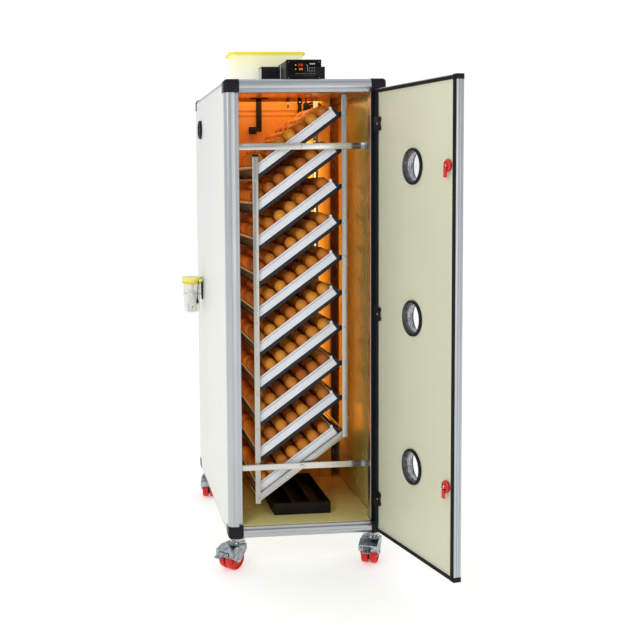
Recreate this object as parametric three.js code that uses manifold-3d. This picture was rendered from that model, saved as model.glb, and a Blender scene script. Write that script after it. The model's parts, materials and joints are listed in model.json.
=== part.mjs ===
// Cabinet egg incubator: an aluminium frame with sandwich panels on four swivel casters, a side-hung
// door with three portholes, and ten egg trays that tilt together on a parallelogram rack.
// Millimetres. X runs right along the front, Y runs to the back, Z runs up from the floor.
import * as THREE from "three";
import { mergeVertices } from "three/addons/utils/BufferGeometryUtils.js";
import Module from "manifold-3d";

const wasm = await Module();
wasm.setup();

// ---- driving dimensions ----

const gap = 0.3; // between pieces that touch on the real object
const cabinet = { width: 520, depth: 880, height: 1475, base: 102 };
// Aluminium extrusion of the frame. The rails are lower than the posts are wide.
const profile = { size: 48, rail: 41, bead: 16, lip: 14, rail_lip: 12, step: 14 };
const block = { proud: 0.8, reach: 48.4, rise: 41.4 }; // a corner block past the faces, inwards, upwards
const panel = { thickness: 28, roof_thickness: 20, floor_thickness: 40 };

const front = -cabinet.depth / 2;
const back = cabinet.depth / 2;
const side = cabinet.width / 2;
const bottom = cabinet.base;
const top = cabinet.base + cabinet.height;
const inner_wall = side - panel.thickness;
const floor_top = bottom + panel.floor_thickness;
const ceiling = top - panel.roof_thickness;

const door = {
  width: 468,
  bottom: 120,
  top: 1542,
  thickness: 24,
  edge: 18, // width of the edge profile round the panel
  pivot_x: 228,
  pivot_to_edge: 6,
  frame_gap: 6, // between the closed door's inner face and the cabinet
  open_degrees: 101.9,
};
const door_middle = (door.bottom + door.top) / 2;
const door_face = door.thickness / 2;
const pivot_y = front - door.frame_gap - door_face;
const gasket = { inset: 3, width: 10, thickness: 4.6 };
const hinge = {
  height: 46,
  radius: 5,
  pin: 2,
  leaf: 2.7,
  reach: 42,
  spacing: 600,
  above_middle: 1,
  plate: { from: 7, to: 30, thickness: 3 }, // on the post, outwards from the hinge axis
};
const porthole = {
  bore: 48,
  flange: 54,
  flange_thickness: 8,
  glass_radius: 40,
  glass: 3,
  spacing: 451,
  above_middle: 13,
};
const latch = {
  inset: 38,
  spacing: 453,
  above_middle: 10,
  shaft: 5,
  disc: 17,
  disc_height: 9,
  bolt: 3.5,
  finger: { length: 34, width: 11, from: -1, to: 6 }, // in depth, from the disc's face
  lever: { disc: 15, width: 14, above: 9, below: 50, from: 7, to: 19 }, // outside the door
};

const rack = {
  x: -8,
  tilt_degrees: 36,
  trays: 10,
  pitch: 116,
  top_pivot: 1367,
  half_span: 180, // from the centre pivot to a link pin
  pin: 4,
  shaft: 6,
  play: 0.4,
};
const bottom_pivot = rack.top_pivot - (rack.trays - 1) * rack.pitch;
const tray = { half_length: 157, depth: 408, wall: 3.5, base: 8, height: 28.5 };
const carrier = { beam_height: 12, beam_width: 8, end_inner: 161, end_outer: 171, end_height: 34 };
const bar = {
  height: 20,
  thickness: 5,
  link_width: 18,
  link_thickness: 4,
  above_top_pin: 82,
  below_last_pin: 18,
  arm_drop: 14, // the driven arm's lower edge, below its pins
};

// Layers of the rack from the door backwards.
const crossbar_y = front + profile.size + 1;
const link_y = crossbar_y + 8;
const arm_y = link_y + bar.link_thickness + 2;
const tray_y = arm_y + bar.thickness + 3;
const tray_back = tray_y + tray.depth;
const baffle_y = 80;

const caster = {
  x: 225,
  y: 395,
  wheel_radius: 37.5,
  wheel_width: 50,
  groove: 6,
  trail: 32,
  fork_width: 62,
  sheet: 3.5,
  axle: 5,
  hood_top: 80,
  race_radius: 25,
};

// ---- materials ----

function finish(color, roughness, metalness = 0) {
  return new THREE.MeshStandardMaterial({ color, roughness, metalness, flatShading: true });
}

const aluminium = finish(0xb4bcc4, 0.35, 0.8);
const white_panel = finish(0xf1f1ec, 0.5);
const cream_panel = finish(0xd2d2b8, 0.5);
const black_plastic = finish(0x17181c, 0.5);
const black_rubber = finish(0x101114, 0.8);
const zinc = finish(0xaab2ba, 0.4, 0.8);
const steel = finish(0xa9aaa2, 0.35, 0.9);
const red_plastic = finish(0xd8261a, 0.4);
const white_plastic = finish(0xeaecee, 0.45);
const orange_sheet = finish(0xd98a3c, 0.5);
const yellow_plastic = finish(0xf2c618, 0.35);
const clear_yellow = finish(0xe9dfa6, 0.25);
const clear_plastic = finish(0xe4e6e2, 0.2);
const grey_plastic = finish(0x8b8f92, 0.5);

// ---- solids ----

function solid(geometry) {
  const loose = geometry.index ? geometry.toNonIndexed() : geometry;
  const bare = new THREE.BufferGeometry().setAttribute("position", loose.getAttribute("position"));
  const merged = mergeVertices(bare, 1e-4);
  return new wasm.Manifold(
    new wasm.Mesh({
      numProp: 3,
      vertProperties: merged.attributes.position.array,
      triVerts: new Uint32Array(merged.index.array),
    }),
  );
}

function box([x0, x1], [y0, y1], [z0, z1]) {
  const block = new THREE.BoxGeometry(x1 - x0, y1 - y0, z1 - z0);
  block.translate((x0 + x1) / 2, (y0 + y1) / 2, (z0 + z1) / 2);
  return solid(block);
}

// Axes of an extrusion: its outline's two directions, then the direction that it runs in.
const run_along = {
  x: new THREE.Matrix4().makeBasis(axis(0, 1, 0), axis(0, 0, 1), axis(1, 0, 0)),
  y: new THREE.Matrix4().makeBasis(axis(0, 0, 1), axis(1, 0, 0), axis(0, 1, 0)),
  z: new THREE.Matrix4(),
};

function axis(x, y, z) {
  return new THREE.Vector3(x, y, z);
}

// An outline in (y, z), (z, x) or (x, y), extruded from one place to another along x, y or z.
function extrude(outline, along, [from, to]) {
  const shape = new THREE.Shape(outline.map(([u, v]) => new THREE.Vector2(u, v)));
  const body = new THREE.ExtrudeGeometry(shape, { depth: to - from, bevelEnabled: false });
  body.translate(0, 0, from);
  body.applyMatrix4(run_along[along]);
  return solid(body);
}

// A rod round (u, v), which are (y, z), (z, x) or (x, y) as in extrude.
function rod(radius, along, [from, to], [u, v], segments = 12) {
  const outline = Array.from({ length: segments }, (_, i) => {
    const angle = (2 * Math.PI * (i + 0.5)) / segments;
    return [u + radius * Math.cos(angle), v + radius * Math.sin(angle)];
  });
  return extrude(outline, along, [from, to]);
}

// A turned piece from a closed outline of [radius, height], standing on z.
function turned(outline, segments = 24) {
  const points = outline.map(([radius, height]) => new THREE.Vector2(radius, height));
  const body = new THREE.LatheGeometry(points, segments);
  body.rotateX(Math.PI / 2);
  return solid(body);
}

function ordered(p, q) {
  return p < q ? [p, q] : [q, p];
}

function join(first, ...others) {
  return others.reduce((whole, other) => whole.add(other), first);
}

function cut(whole, ...tools) {
  return tools.reduce((rest, tool) => rest.subtract(tool), whole);
}

const incubator = new THREE.Group();

function piece(name, body, material, parent = incubator) {
  const made = body.getMesh();
  const geometry = new THREE.BufferGeometry()
    .setAttribute("position", new THREE.BufferAttribute(made.vertProperties, 3))
    .setIndex(new THREE.BufferAttribute(made.triVerts, 1));
  geometry.computeVertexNormals();
  const mesh = new THREE.Mesh(geometry, material);
  mesh.name = name;
  parent.add(mesh);
}

// ---- cabinet frame ----

// Section of the frame extrusion: a runs inwards along the flat face, b runs inwards from it. A lip is
// the set-back strip that the door latches behind, and a seat lets a panel in from the side face.
function profile_section({ lip = 0, seat = false, wide = profile.size, deep = profile.size }) {
  const { bead } = profile;
  const arc = [0, 1, 2, 3, 4].map((step) => {
    const angle = (Math.PI / 2) * (step / 4);
    return [bead * (1 - Math.cos(angle)), bead * (1 - Math.sin(angle))];
  });
  const face = lip
    ? [[wide - lip, 0], [wide - lip, profile.step], [wide, profile.step]]
    : [[wide, 0]];
  const inner = [[wide, deep]];
  const side_face = seat
    ? [[panel.thickness + gap, deep], [panel.thickness + gap, bead + gap], [0, bead + gap]]
    : [[0, deep]];
  return [...arc, ...face, ...inner, ...side_face];
}

const between_rings = [bottom + block.rise + gap, top - block.rise - gap];
const sides = { left: -1, right: 1 };
const ends = { front: -1, rear: 1 };

function post_section(x_sign, y_sign, lip) {
  return profile_section({ lip, seat: true }).map(([a, b]) => [x_sign * (side - a), y_sign * (back - b)]);
}

// The keeper slot that a latch finger turns into, behind the flange of the front left post.
function keeper_slot(height) {
  const flange = -(side - profile.size + profile.lip);
  const disc_y = pivot_y + door_face + latch.disc_height;
  const { length, width, from, to } = latch.finger;
  const depth = [disc_y + from - gap, disc_y + to + 4 * gap];
  return box([flange - 20, flange + 1], depth, [height - length - 2, height + width / 2 + 2.5]);
}

function posts() {
  for (const [end_name, y_sign] of Object.entries(ends)) {
    for (const [side_name, x_sign] of Object.entries(sides)) {
      const is_front = y_sign < 0;
      const lip = is_front ? profile.lip : 0;
      let body = extrude(post_section(x_sign, y_sign, lip), "z", between_rings);
      if (is_front && x_sign < 0) {
        body = cut(body, ...latch_heights().map(keeper_slot));
      }
      piece(`post_${end_name}_${side_name}`, body, aluminium);
    }
  }
}

// A moulded block that joins three rails at a corner, a little proud of their outer faces.
function corner_block(x_sign, y_sign, z_sign) {
  const { proud } = block;
  const size = block.reach + proud;
  const outline = profile_section({ wide: size, deep: size }).map(([a, b]) => [
    x_sign * (side + proud - a),
    y_sign * (back + proud - b),
  ]);
  const outer = z_sign > 0 ? top + proud : bottom - proud;
  return extrude(outline, "z", ordered(outer, outer - z_sign * (block.rise + proud)));
}

// One rectangular ring of rails with its four corner blocks, at the top or the bottom of the cabinet.
function rail_ring(name, z_sign) {
  const outer = z_sign > 0 ? top : bottom;
  const inward = (a) => outer - z_sign * a;
  const overlap = 4;
  const parts = [];
  for (const y_sign of Object.values(ends)) {
    const section = profile_section({ lip: y_sign < 0 ? profile.rail_lip : 0, wide: profile.rail });
    const outline = section.map(([a, b]) => [y_sign * (back - b), inward(a)]);
    const reach = side - profile.size + overlap;
    parts.push(extrude(outline, "x", [-reach, reach]));
  }
  for (const x_sign of Object.values(sides)) {
    const section = profile_section({ seat: true, deep: profile.rail });
    const outline = section.map(([a, b]) => [inward(b), x_sign * (side - a)]);
    const reach = back - profile.size + overlap;
    parts.push(extrude(outline, "y", [-reach, reach]));
    parts.push(...Object.values(ends).map((y_sign) => corner_block(x_sign, y_sign, z_sign)));
  }
  piece(name, join(...parts), aluminium);
}

function panels() {
  const seat = profile.bead + 2 * gap;
  const between_posts = side - block.reach - gap;
  const between_rails = back - block.reach - gap;
  for (const [side_name, x_sign] of Object.entries(sides)) {
    const faces = ordered(x_sign * side, x_sign * inner_wall);
    const [low, high] = between_rings;
    const corners = Object.values(ends).flatMap((y_sign) => {
      const y = ordered(y_sign * between_rails, y_sign * back);
      return [[bottom, low], [high, top]].map((z) => box([-side - 1, side + 1], y, z));
    });
    const sheet = box(faces, [front + seat, back - seat], [bottom + seat, top - seat]);
    piece(`${side_name}_panel`, cut(sheet, ...corners), white_panel);
  }
  const across = [-between_posts, between_posts];
  const along = [-between_rails, between_rails];
  piece("back_panel", box(across, [back - panel.thickness, back], between_rings), white_panel);
  piece("roof_panel", box(across, along, [ceiling, top]), white_panel);
  piece("floor_panel", box(across, along, [bottom, floor_top]), cream_panel);
}

// ---- door ----

// The door is built closed, round its hinge axis, and then swung open: it runs towards -X from the
// axis, and its inner face looks towards +Y.
const door_group = new THREE.Group();
door_group.position.set(door.pivot_x, pivot_y, 0);
door_group.rotation.z = THREE.MathUtils.degToRad(door.open_degrees);
incubator.add(door_group);

const door_edge = -door.pivot_to_edge;
const door_free_edge = door_edge - door.width;
const door_centre = (door_edge + door_free_edge) / 2;

function latch_heights() {
  return [latch.spacing, -latch.spacing].map((offset) => door_middle + latch.above_middle + offset);
}

function porthole_heights() {
  const { spacing, above_middle } = porthole;
  return [spacing, 0, -spacing].map((offset) => door_middle + above_middle + offset);
}

function hinge_heights() {
  const { spacing, above_middle } = hinge;
  return [spacing, 0, -spacing].map((offset) => door_middle + above_middle + offset);
}

// A rectangular ring in the plane of the door, of the given width, inset from the door's outline.
function door_ring(inset, width, depth) {
  const outer = box(
    [door_free_edge + inset, door_edge - inset],
    depth,
    [door.bottom + inset, door.top - inset],
  );
  const hole = inset + width;
  const [y0, y1] = depth;
  const inner = box(
    [door_free_edge + hole, door_edge - hole],
    [y0 - 1, y1 + 1],
    [door.bottom + hole, door.top - hole],
  );
  return cut(outer, inner);
}

const leaf_low = door_face + 2.3; // the hinge leaf lies just above a thinned stretch of gasket
const leaf_high = leaf_low + hinge.leaf;
const knuckle = hinge.height / 3;

// The door's half of a hinge: a leaf over the inner face, wrapped round the edge to the middle knuckle.
function door_leaf(height) {
  const half = hinge.height / 2;
  const tall = [height - half, height + half];
  const leaf = box([door_edge - hinge.reach, door_edge + 2], [leaf_low, leaf_high], tall);
  const wrap = box([door_edge - 1, door_edge + 2], [-4, leaf_high], tall);
  const pad_edge = door_edge - gasket.inset - gasket.width - 3;
  const pad = box([door_edge - hinge.reach, pad_edge], [door_face + 0.2, leaf_high], tall);
  const middle = [height - knuckle / 2 + gap, height + knuckle / 2 - gap];
  const barrel = rod(hinge.radius, "z", middle, [0, 0]);
  const arm = box([door_edge, 0], [-3, 3], middle);
  const bore = rod(hinge.pin + 0.4, "z", tall, [0, 0]);
  const clearances = [-1, 1].map((end) => {
    const z = ordered(height + end * (knuckle / 2 - gap), height + end * (half + 1));
    return rod(hinge.radius + 0.6, "z", z, [0, 0]);
  });
  return cut(join(leaf, wrap, pad, barrel, arm), bore, ...clearances);
}

function door_body() {
  const ring = door_ring(0, door.edge, [-door_face, door_face]);
  piece("door_frame", join(ring, ...hinge_heights().map(door_leaf)), aluminium, door_group);

  const inset = door.edge + gap;
  const skin = door_face - 1;
  let sheet = box(
    [door_free_edge + inset, door_edge - inset],
    [-skin, skin],
    [door.bottom + inset, door.top - inset],
  );
  const through = [-door_face - 1, door_face + 1];
  for (const height of porthole_heights()) {
    sheet = cut(sheet, rod(porthole.bore, "y", through, [height, door_centre], 32));
  }
  for (const height of latch_heights()) {
    sheet = cut(sheet, rod(latch.shaft + 0.4, "y", through, [height, latch_x]));
  }
  piece("door_panel", sheet, cream_panel, door_group);

  let seal = door_ring(gasket.inset, gasket.width, [door_face + gap, door_face + gap + gasket.thickness]);
  for (const height of hinge_heights()) {
    const half = hinge.height / 2 + gap;
    const notch = box(
      [door_edge - gasket.inset - gasket.width - 1, door_edge + 3],
      [leaf_low - gap, leaf_high + 2],
      [height - half, height + half],
    );
    seal = cut(seal, notch);
  }
  piece("door_gasket", seal, black_rubber, door_group);
}

// The cabinet's half of a hinge: a plate on the post, the two outer knuckles and the pin.
function cabinet_hinge(name, height) {
  const half = hinge.height / 2;
  const post_face = front - pivot_y - gap;
  const { from, to, thickness } = hinge.plate;
  const plate = box([from, to], [post_face - thickness, post_face], [height - half, height + half]);
  const parts = [plate, rod(hinge.pin, "z", [height - half, height + half], [0, 0])];
  for (const end of [-1, 1]) {
    const z = ordered(height + (end * knuckle) / 2, height + end * half);
    parts.push(rod(hinge.radius, "z", z, [0, 0]));
    parts.push(box([1, from + 2], [0, post_face], z));
  }
  const group = new THREE.Group();
  group.position.set(door.pivot_x, pivot_y, 0);
  incubator.add(group);
  piece(name, join(...parts), black_plastic, group);
}

// One porthole: a flanged ring through the door that holds a pane half way along.
function porthole_ring(name, height) {
  const outer = door_face - 1 + gap + porthole.flange_thickness;
  const seat = door_face - 1 + gap;
  const { bore, flange, glass_radius, glass } = porthole;
  const outline = [
    [0, -glass / 2],
    [glass_radius, -glass / 2],
    [glass_radius + 2, -outer],
    [flange, -outer],
    [flange, -seat],
    [bore - 0.5, -seat],
    [bore - 0.5, seat],
    [flange, seat],
    [flange, outer],
    [glass_radius + 2, outer],
    [glass_radius, glass / 2],
    [0, glass / 2],
  ];
  const group = new THREE.Group();
  group.position.set(door_centre, 0, height);
  group.rotation.x = Math.PI / 2;
  door_group.add(group);
  piece(name, turned(outline, 28), black_plastic, group);
}

const latch_x = door_free_edge + latch.inset;

// One latch: a disc with a catch finger inside, a shaft through the door and a lever outside.
function door_latch(name, height) {
  const skin = door_face - 1 + gap;
  const { finger, lever, shaft, disc, disc_height, bolt } = latch;
  const disc_top = door_face + disc_height;
  const centre = [height, latch_x];
  const across = (width) => [latch_x - width / 2, latch_x + width / 2];
  const finger_height = [height - finger.length, height - disc / 2];
  const lever_height = [height - lever.below, height + lever.above];
  const parts = [
    rod(shaft, "y", [-skin - 1, skin + 1], centre),
    rod(disc, "y", [skin, disc_top], centre, 20),
    rod(bolt, "y", [disc_top - 1, disc_top + disc_height], centre, 8),
    box(across(finger.width), [disc_top + finger.from, disc_top + finger.to], finger_height),
    rod(lever.disc, "y", [-skin - lever.from - 1, -skin], centre, 20),
    box(across(lever.width), [-skin - lever.to, -skin - lever.from], lever_height),
  ];
  piece(name, join(...parts), red_plastic, door_group);
}

// ---- tilting rack ----

const tilt = THREE.MathUtils.degToRad(rack.tilt_degrees);
const pin_rise = rack.half_span * Math.sin(tilt);
const pin_reach = rack.half_span * Math.cos(tilt);

// A group whose own X axis runs up the slope of the trays, to the right.
function tilted_group(height) {
  const group = new THREE.Group();
  group.position.set(rack.x, 0, height);
  group.rotation.y = -tilt;
  incubator.add(group);
  return group;
}

function pin_bores(y_range) {
  return [-1, 1].map((sign) => rod(rack.pin + rack.play, "y", y_range, [0, sign * rack.half_span], 8));
}

// A steel carrier of two beams and two end plates, with an open-topped plastic tray on it.
function egg_tray(index) {
  const depth = [tray_y, tray_back];
  const { beam_height, beam_width, end_inner, end_outer, end_height } = carrier;
  const beam_low = tray.base - beam_height;
  const beam_reach = rack.half_span + 8;
  const parts = [
    box([-beam_reach, beam_reach], [tray_y, tray_y + beam_width], [beam_low, tray.base]),
    box([-beam_reach, beam_reach], [tray_back - beam_width, tray_back], [beam_low, tray.base]),
    box([-end_outer, -end_inner], depth, [beam_low, beam_low + end_height]),
    box([end_inner, end_outer], depth, [beam_low, beam_low + end_height]),
    box([-tray.half_length, tray.half_length], depth, [tray.base - 0.2, tray.base + tray.height]),
  ];
  const room = tray.half_length - tray.wall;
  const hollow = box(
    [-room, room],
    [tray_y + tray.wall, tray_back - tray.wall],
    [tray.base + tray.wall, tray.base + tray.height + 1],
  );
  let body = cut(join(...parts), hollow, ...pin_bores([tray_y - 1, tray_back + 1]));
  if (index === 1 || index === rack.trays) {
    body = cut(body, rod(rack.shaft + rack.play, "y", [tray_y - 1, tray_back + 1], [0, 0]));
  }
  const height = rack.top_pivot - (index - 1) * rack.pitch;
  piece(`egg_tray_${String(index).padStart(2, "0")}`, body, white_plastic, tilted_group(height));
}

// The fixed bar that carries a centre pivot, from wall to wall.
function crossbar(height) {
  const reach = inner_wall - gap;
  return box(
    [-reach, reach],
    [crossbar_y, crossbar_y + bar.thickness],
    [height - bar.height / 2, height + bar.height / 2],
  );
}

function rack_frame() {
  const shaft_y = [crossbar_y - 2, baffle_y - 2 * gap];
  const shaft = rod(rack.shaft, "y", shaft_y, [rack.top_pivot, rack.x]);
  piece("upper_crossbar", join(crossbar(rack.top_pivot), shaft), steel);

  const bore = rod(rack.shaft + rack.play, "y", [crossbar_y - 1, crossbar_y + 9], [bottom_pivot, rack.x]);
  piece("lower_crossbar", cut(crossbar(bottom_pivot), bore), steel);
}

// The driven arm under the last tray, on the shaft that the turning motor turns.
function tilt_arm() {
  const reach = rack.half_span + 6;
  const arm = box([-reach, reach], [arm_y, arm_y + bar.thickness], [-bar.arm_drop, tray.base]);
  const shaft = rod(rack.shaft, "y", [crossbar_y - 4, baffle_y + 40], [0, 0]);
  const body = join(cut(arm, ...pin_bores([arm_y - 1, arm_y + 9])), shaft);
  piece("tilt_arm", body, steel, tilted_group(bottom_pivot));
}

// A link: a front and a rear upright bar, joined by rods through the first and last trays' pin holes.
function link(name, x_sign) {
  const x = rack.x + x_sign * pin_reach;
  const top_pin = rack.top_pivot + x_sign * pin_rise;
  const last_pin = bottom_pivot + x_sign * pin_rise;
  const half = bar.link_width / 2;
  const height = [last_pin - bar.below_last_pin, top_pin + bar.above_top_pin];
  const front_bar = [link_y, link_y + bar.link_thickness];
  const rear_bar = [tray_back + 4, tray_back + 4 + bar.link_thickness];
  const parts = [front_bar, rear_bar].map((depth) => box([x - half, x + half], depth, height));
  for (let index = 0; index < rack.trays; index += 1) {
    const centre = [top_pin - index * rack.pitch, x];
    if (index === 0 || index === rack.trays - 1) {
      parts.push(rod(rack.pin, "y", [front_bar[0], rear_bar[1]], centre, 8));
    } else {
      parts.push(rod(rack.pin, "y", [front_bar[0], tray_y + carrier.beam_width], centre, 8));
      parts.push(rod(rack.pin, "y", [tray_back - carrier.beam_width, rear_bar[1]], centre, 8));
    }
  }
  piece(name, join(...parts), steel);
}

// ---- air, heat and water inside ----

const fan = { x: 135, z: 1500, ring: 47, ring_depth: 14, radius: 40, hub: 14, blades: 5, strut: 12 };
const baffle = { half: 200, sheet: 2, flange: 25 };

// The sheet between the trays and the air duct behind them, with the fan's ring and its motor strut.
function air_baffle() {
  const { half, sheet, flange } = baffle;
  const centre = [fan.z, fan.x];
  const height = [floor_top + gap, ceiling - gap];
  const parts = [
    box([-half, half], [baffle_y, baffle_y + sheet], height),
    box([-half, -half + sheet], [baffle_y, baffle_y + flange], height),
    box([half - sheet, half], [baffle_y, baffle_y + flange], height),
    rod(fan.ring, "y", [baffle_y - fan.ring_depth, baffle_y + 1], centre, 28),
  ];
  const throat = rod(fan.radius + 3, "y", [baffle_y - fan.ring_depth - 1, baffle_y + 4], centre, 28);
  const strut = box(
    [fan.x - fan.strut / 2, fan.x + fan.strut / 2],
    [baffle_y, baffle_y + sheet],
    [fan.z - fan.ring, fan.z + fan.ring - 2],
  );
  const shaft_hole = rod(rack.shaft + 1, "y", [baffle_y - 1, baffle_y + 4], [bottom_pivot, rack.x]);
  piece("air_baffle", join(cut(join(...parts), throat, shaft_hole), strut), orange_sheet);
}

function fan_rotor() {
  const depth = [-10, -1];
  const parts = [rod(fan.hub, "y", depth, [0, 0], 16)];
  for (let index = 0; index < fan.blades; index += 1) {
    const blade = box([-8, 8], [-7, -4.5], [fan.hub - 3, fan.radius]);
    parts.push(blade.rotate([0, (360 * index) / fan.blades, 0]));
  }
  const group = new THREE.Group();
  group.position.set(fan.x, baffle_y, fan.z);
  incubator.add(group);
  piece("fan_rotor", join(...parts), black_plastic, group);
}

// A tubular heater behind the baffle: one rod between two end blocks.
function heater() {
  const z = 1330;
  const half = 120;
  const block_size = { width: 16, depth: 38, height: 40 };
  const y = [baffle_y + baffle.sheet + gap, baffle_y + baffle.sheet + block_size.depth];
  const middle = (y[0] + y[1]) / 2;
  const tall = [z - block_size.height / 2, z + block_size.height / 2];
  const blocks = [-half, half].map((x) => box([x - block_size.width / 2, x + block_size.width / 2], y, tall));
  piece("heater", join(rod(6, "x", [-half, half], [middle, z]), ...blocks), steel);
}

// The gear motor behind the baffle, with a socket for the tilt shaft.
function turning_motor() {
  const y = baffle_y + baffle.sheet + gap;
  const half = 32;
  const depth = 45;
  const motor = { radius: 26, length: 65 };
  const centre = [bottom_pivot, rack.x];
  const gearbox = box(
    [rack.x - half, rack.x + half],
    [y, y + depth],
    [bottom_pivot - half, bottom_pivot + half],
  );
  const can = rod(motor.radius, "y", [y + depth - 1, y + depth + motor.length], centre, 20);
  const socket = rod(rack.shaft + rack.play, "y", [y - 1, y + depth - 5], centre);
  piece("turning_motor", cut(join(gearbox, can), socket), grey_plastic);
}

const water_tray = { x: [-93, 99], y: [front + 102, 5], height: 40, wall: 4 };

function floor_water_tray() {
  const { x, y, height, wall } = water_tray;
  const low = floor_top + gap;
  const channel = (x[1] - x[0] - 4 * wall) / 3;
  let body = box(x, y, [low, low + height]);
  for (const index of [0, 1, 2]) {
    const start = x[0] + wall + index * (channel + wall);
    const room = box([start, start + channel], [y[0] + wall, y[1] - wall], [low + wall, low + height + 1]);
    body = cut(body, room);
  }
  piece("water_tray", body, black_plastic);
}

// ---- on the roof and the side ----

const controller = { x: [-49, 62], y: [-377, -224], height: 64, bezel: 2, bezel_depth: 4 };
const power_box = { x: [-101, 117], y: [-200, -145], height: 63 };
const tank = { x: [-193, 59], y: [-125, -18], height: 118, wall: 3, lap: 8, lip: 10, cover: 4 };

function roof_boxes() {
  const low = top + gap;
  const { x, y, height, bezel, bezel_depth } = controller;
  const body = box(x, y, [low, low + height]);
  const face = box([x[0] - bezel, x[1] + bezel], [y[0] - bezel_depth, y[0] + 1], [low, low + height + bezel]);
  piece("controller_box", join(body, face), black_plastic);
  piece("power_box", box(power_box.x, power_box.y, [low, low + power_box.height]), black_plastic);
}

function roof_tank() {
  const low = top + gap;
  const { wall, lap, lip } = tank;
  const body = box(tank.x, tank.y, [low, low + tank.height]);
  const room = box(
    [tank.x[0] + wall, tank.x[1] - wall],
    [tank.y[0] + wall, tank.y[1] - wall],
    [low + wall, low + tank.height + 1],
  );
  piece("water_tank", cut(body, room), clear_yellow);

  const rim = low + tank.height;
  const cover = box(
    [tank.x[0] - lap, tank.x[1] + lap],
    [tank.y[0] - lap, tank.y[1] + lap],
    [rim - lip, rim + tank.cover],
  );
  const under = box(
    [tank.x[0] - gap, tank.x[1] + gap],
    [tank.y[0] - gap, tank.y[1] + gap],
    [rim - lip - 1, rim + gap],
  );
  piece("tank_lid", cut(cover, under), yellow_plastic);
}

const cup = {
  x: -303,
  y: 246,
  bottom: 761,
  height: 132,
  foot: 29.5,
  mouth: 34.5,
  wall: 2.5,
  grip: 74,
  lid: { skirt: 22, flare: 5.4, top: 4, hole: 10 },
};

function side_cup() {
  const { height, foot, mouth, wall } = cup;
  const place = new THREE.Group();
  place.position.set(cup.x, cup.y, cup.bottom);
  incubator.add(place);
  const shell = [
    [0, 0],
    [foot, 0],
    [mouth, height],
    [mouth - wall, height],
    [foot - wall, wall],
    [0, wall],
  ];
  piece("side_cup", turned(shell, 28), clear_plastic, place);

  const { skirt, flare, top: lid_top, hole } = cup.lid;
  const lid = [
    [mouth + 0.4, height - skirt],
    [mouth + 2.4, height - skirt],
    [mouth + flare, height + lid_top],
    [hole, height + lid_top],
    [hole, height + gap],
    [mouth + 0.4, height + gap],
  ];
  piece("cup_lid", turned([...lid, lid[0]], 28), yellow_plastic, place);

  const { grip } = cup;
  const grip_radius = foot + ((mouth - foot) * grip) / height + 0.5;
  const ring = cut(
    rod(grip_radius + 3.5, "z", [grip - 8, grip], [0, 0], 28),
    rod(grip_radius, "z", [grip - 9, grip + 1], [0, 0], 28),
  );
  const wall_x = -side - cup.x - gap;
  const plate = box([wall_x - 3.5, wall_x], [-16, 16], [grip - 25, grip + 45]);
  const bridge = box([grip_radius + 1, wall_x - 1], [-8, 8], [grip - 8, grip]);
  piece("cup_holder", join(ring, plate, bridge), black_plastic, place);
}

function side_vent() {
  const outline = [
    [0, 0],
    [35, 0],
    [35, 6],
    [31, 10],
    [24, 10],
    [22, 4],
    [0, 4],
  ];
  const group = new THREE.Group();
  group.position.set(-side - gap, 240, 1453);
  group.rotation.y = -Math.PI / 2;
  incubator.add(group);
  piece("side_vent", turned(outline, 24), black_plastic, group);
}

// ---- casters ----

// A caster is built with its wheels towards -Y of its own swivel group.
function caster_fork(braked) {
  const { fork_width, sheet, trail, wheel_radius, hood_top, axle, race_radius } = caster;
  const half = fork_width / 2;
  const hood_front = -trail - wheel_radius - 6;
  const outside = [
    [20, hood_top],
    [-trail - 14, hood_top],
    [hood_front, wheel_radius + 28],
    [hood_front, wheel_radius + 12],
    [-trail - 12, wheel_radius - 10],
    [-trail + 12, wheel_radius - 10],
    [20, hood_top - 22],
  ];
  const inside = [
    [20 - sheet, hood_top - sheet],
    [-trail - 12, hood_top - sheet],
    [hood_front + sheet, wheel_radius + 27],
    [hood_front + sheet, 0],
    [20 - sheet, 0],
  ];
  const hollow = extrude(inside, "x", [-half + sheet, half - sheet]);
  const shell = cut(extrude(outside, "x", [-half, half]), hollow);
  const race = rod(race_radius, "z", [hood_top - 1, bottom - block.proud - gap], [0, 0], 24);
  const axle_hole = rod(axle + 0.4, "x", [-half - 1, half + 1], [-trail, wheel_radius]);
  const body = cut(join(shell, race), axle_hole);
  return braked ? join(body, ...pedal_lugs(hood_front)) : body;
}

const pedal_pin_height = 62;

function pedal_lugs(hood_front) {
  const lug_y = [hood_front - 6, hood_front + 1];
  const lug_z = [pedal_pin_height - 4, pedal_pin_height + 3];
  return [box([-17, -13], lug_y, lug_z), box([13, 17], lug_y, lug_z)];
}

// The brake pedal: a barrel between the lugs and a plate that sticks out in front.
function brake_pedal() {
  const barrel = rod(3, "x", [-12.5, 12.5], [0, 0], 8);
  const outline = [
    [0, 2.5],
    [-26, -6],
    [-26, -10],
    [0, -2.5],
  ];
  return join(barrel, extrude(outline, "x", [-12.5, 12.5]));
}

// Twin wheels on one hub, with the axle ends that sit in the fork.
function twin_wheel() {
  const { wheel_radius: radius, wheel_width, groove, axle, fork_width } = caster;
  const half = wheel_width / 2;
  const chamfer = 4;
  const hub = radius - 8;
  const outline = [
    [0, -half],
    [radius - chamfer, -half],
    [radius, -half + chamfer],
    [radius, -groove / 2],
    [hub, -groove / 2],
    [hub, groove / 2],
    [radius, groove / 2],
    [radius, half - chamfer],
    [radius - chamfer, half],
    [0, half],
  ];
  return join(turned(outline, 28), rod(axle, "z", [-fork_width / 2, fork_width / 2], [0, 0]));
}

// How far each caster has swivelled: 0 has its wheels straight out to the front.
const swivel_degrees = {
  front_left: -48,
  front_right: -26,
  rear_left: -12,
  rear_right: 25,
};

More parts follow.
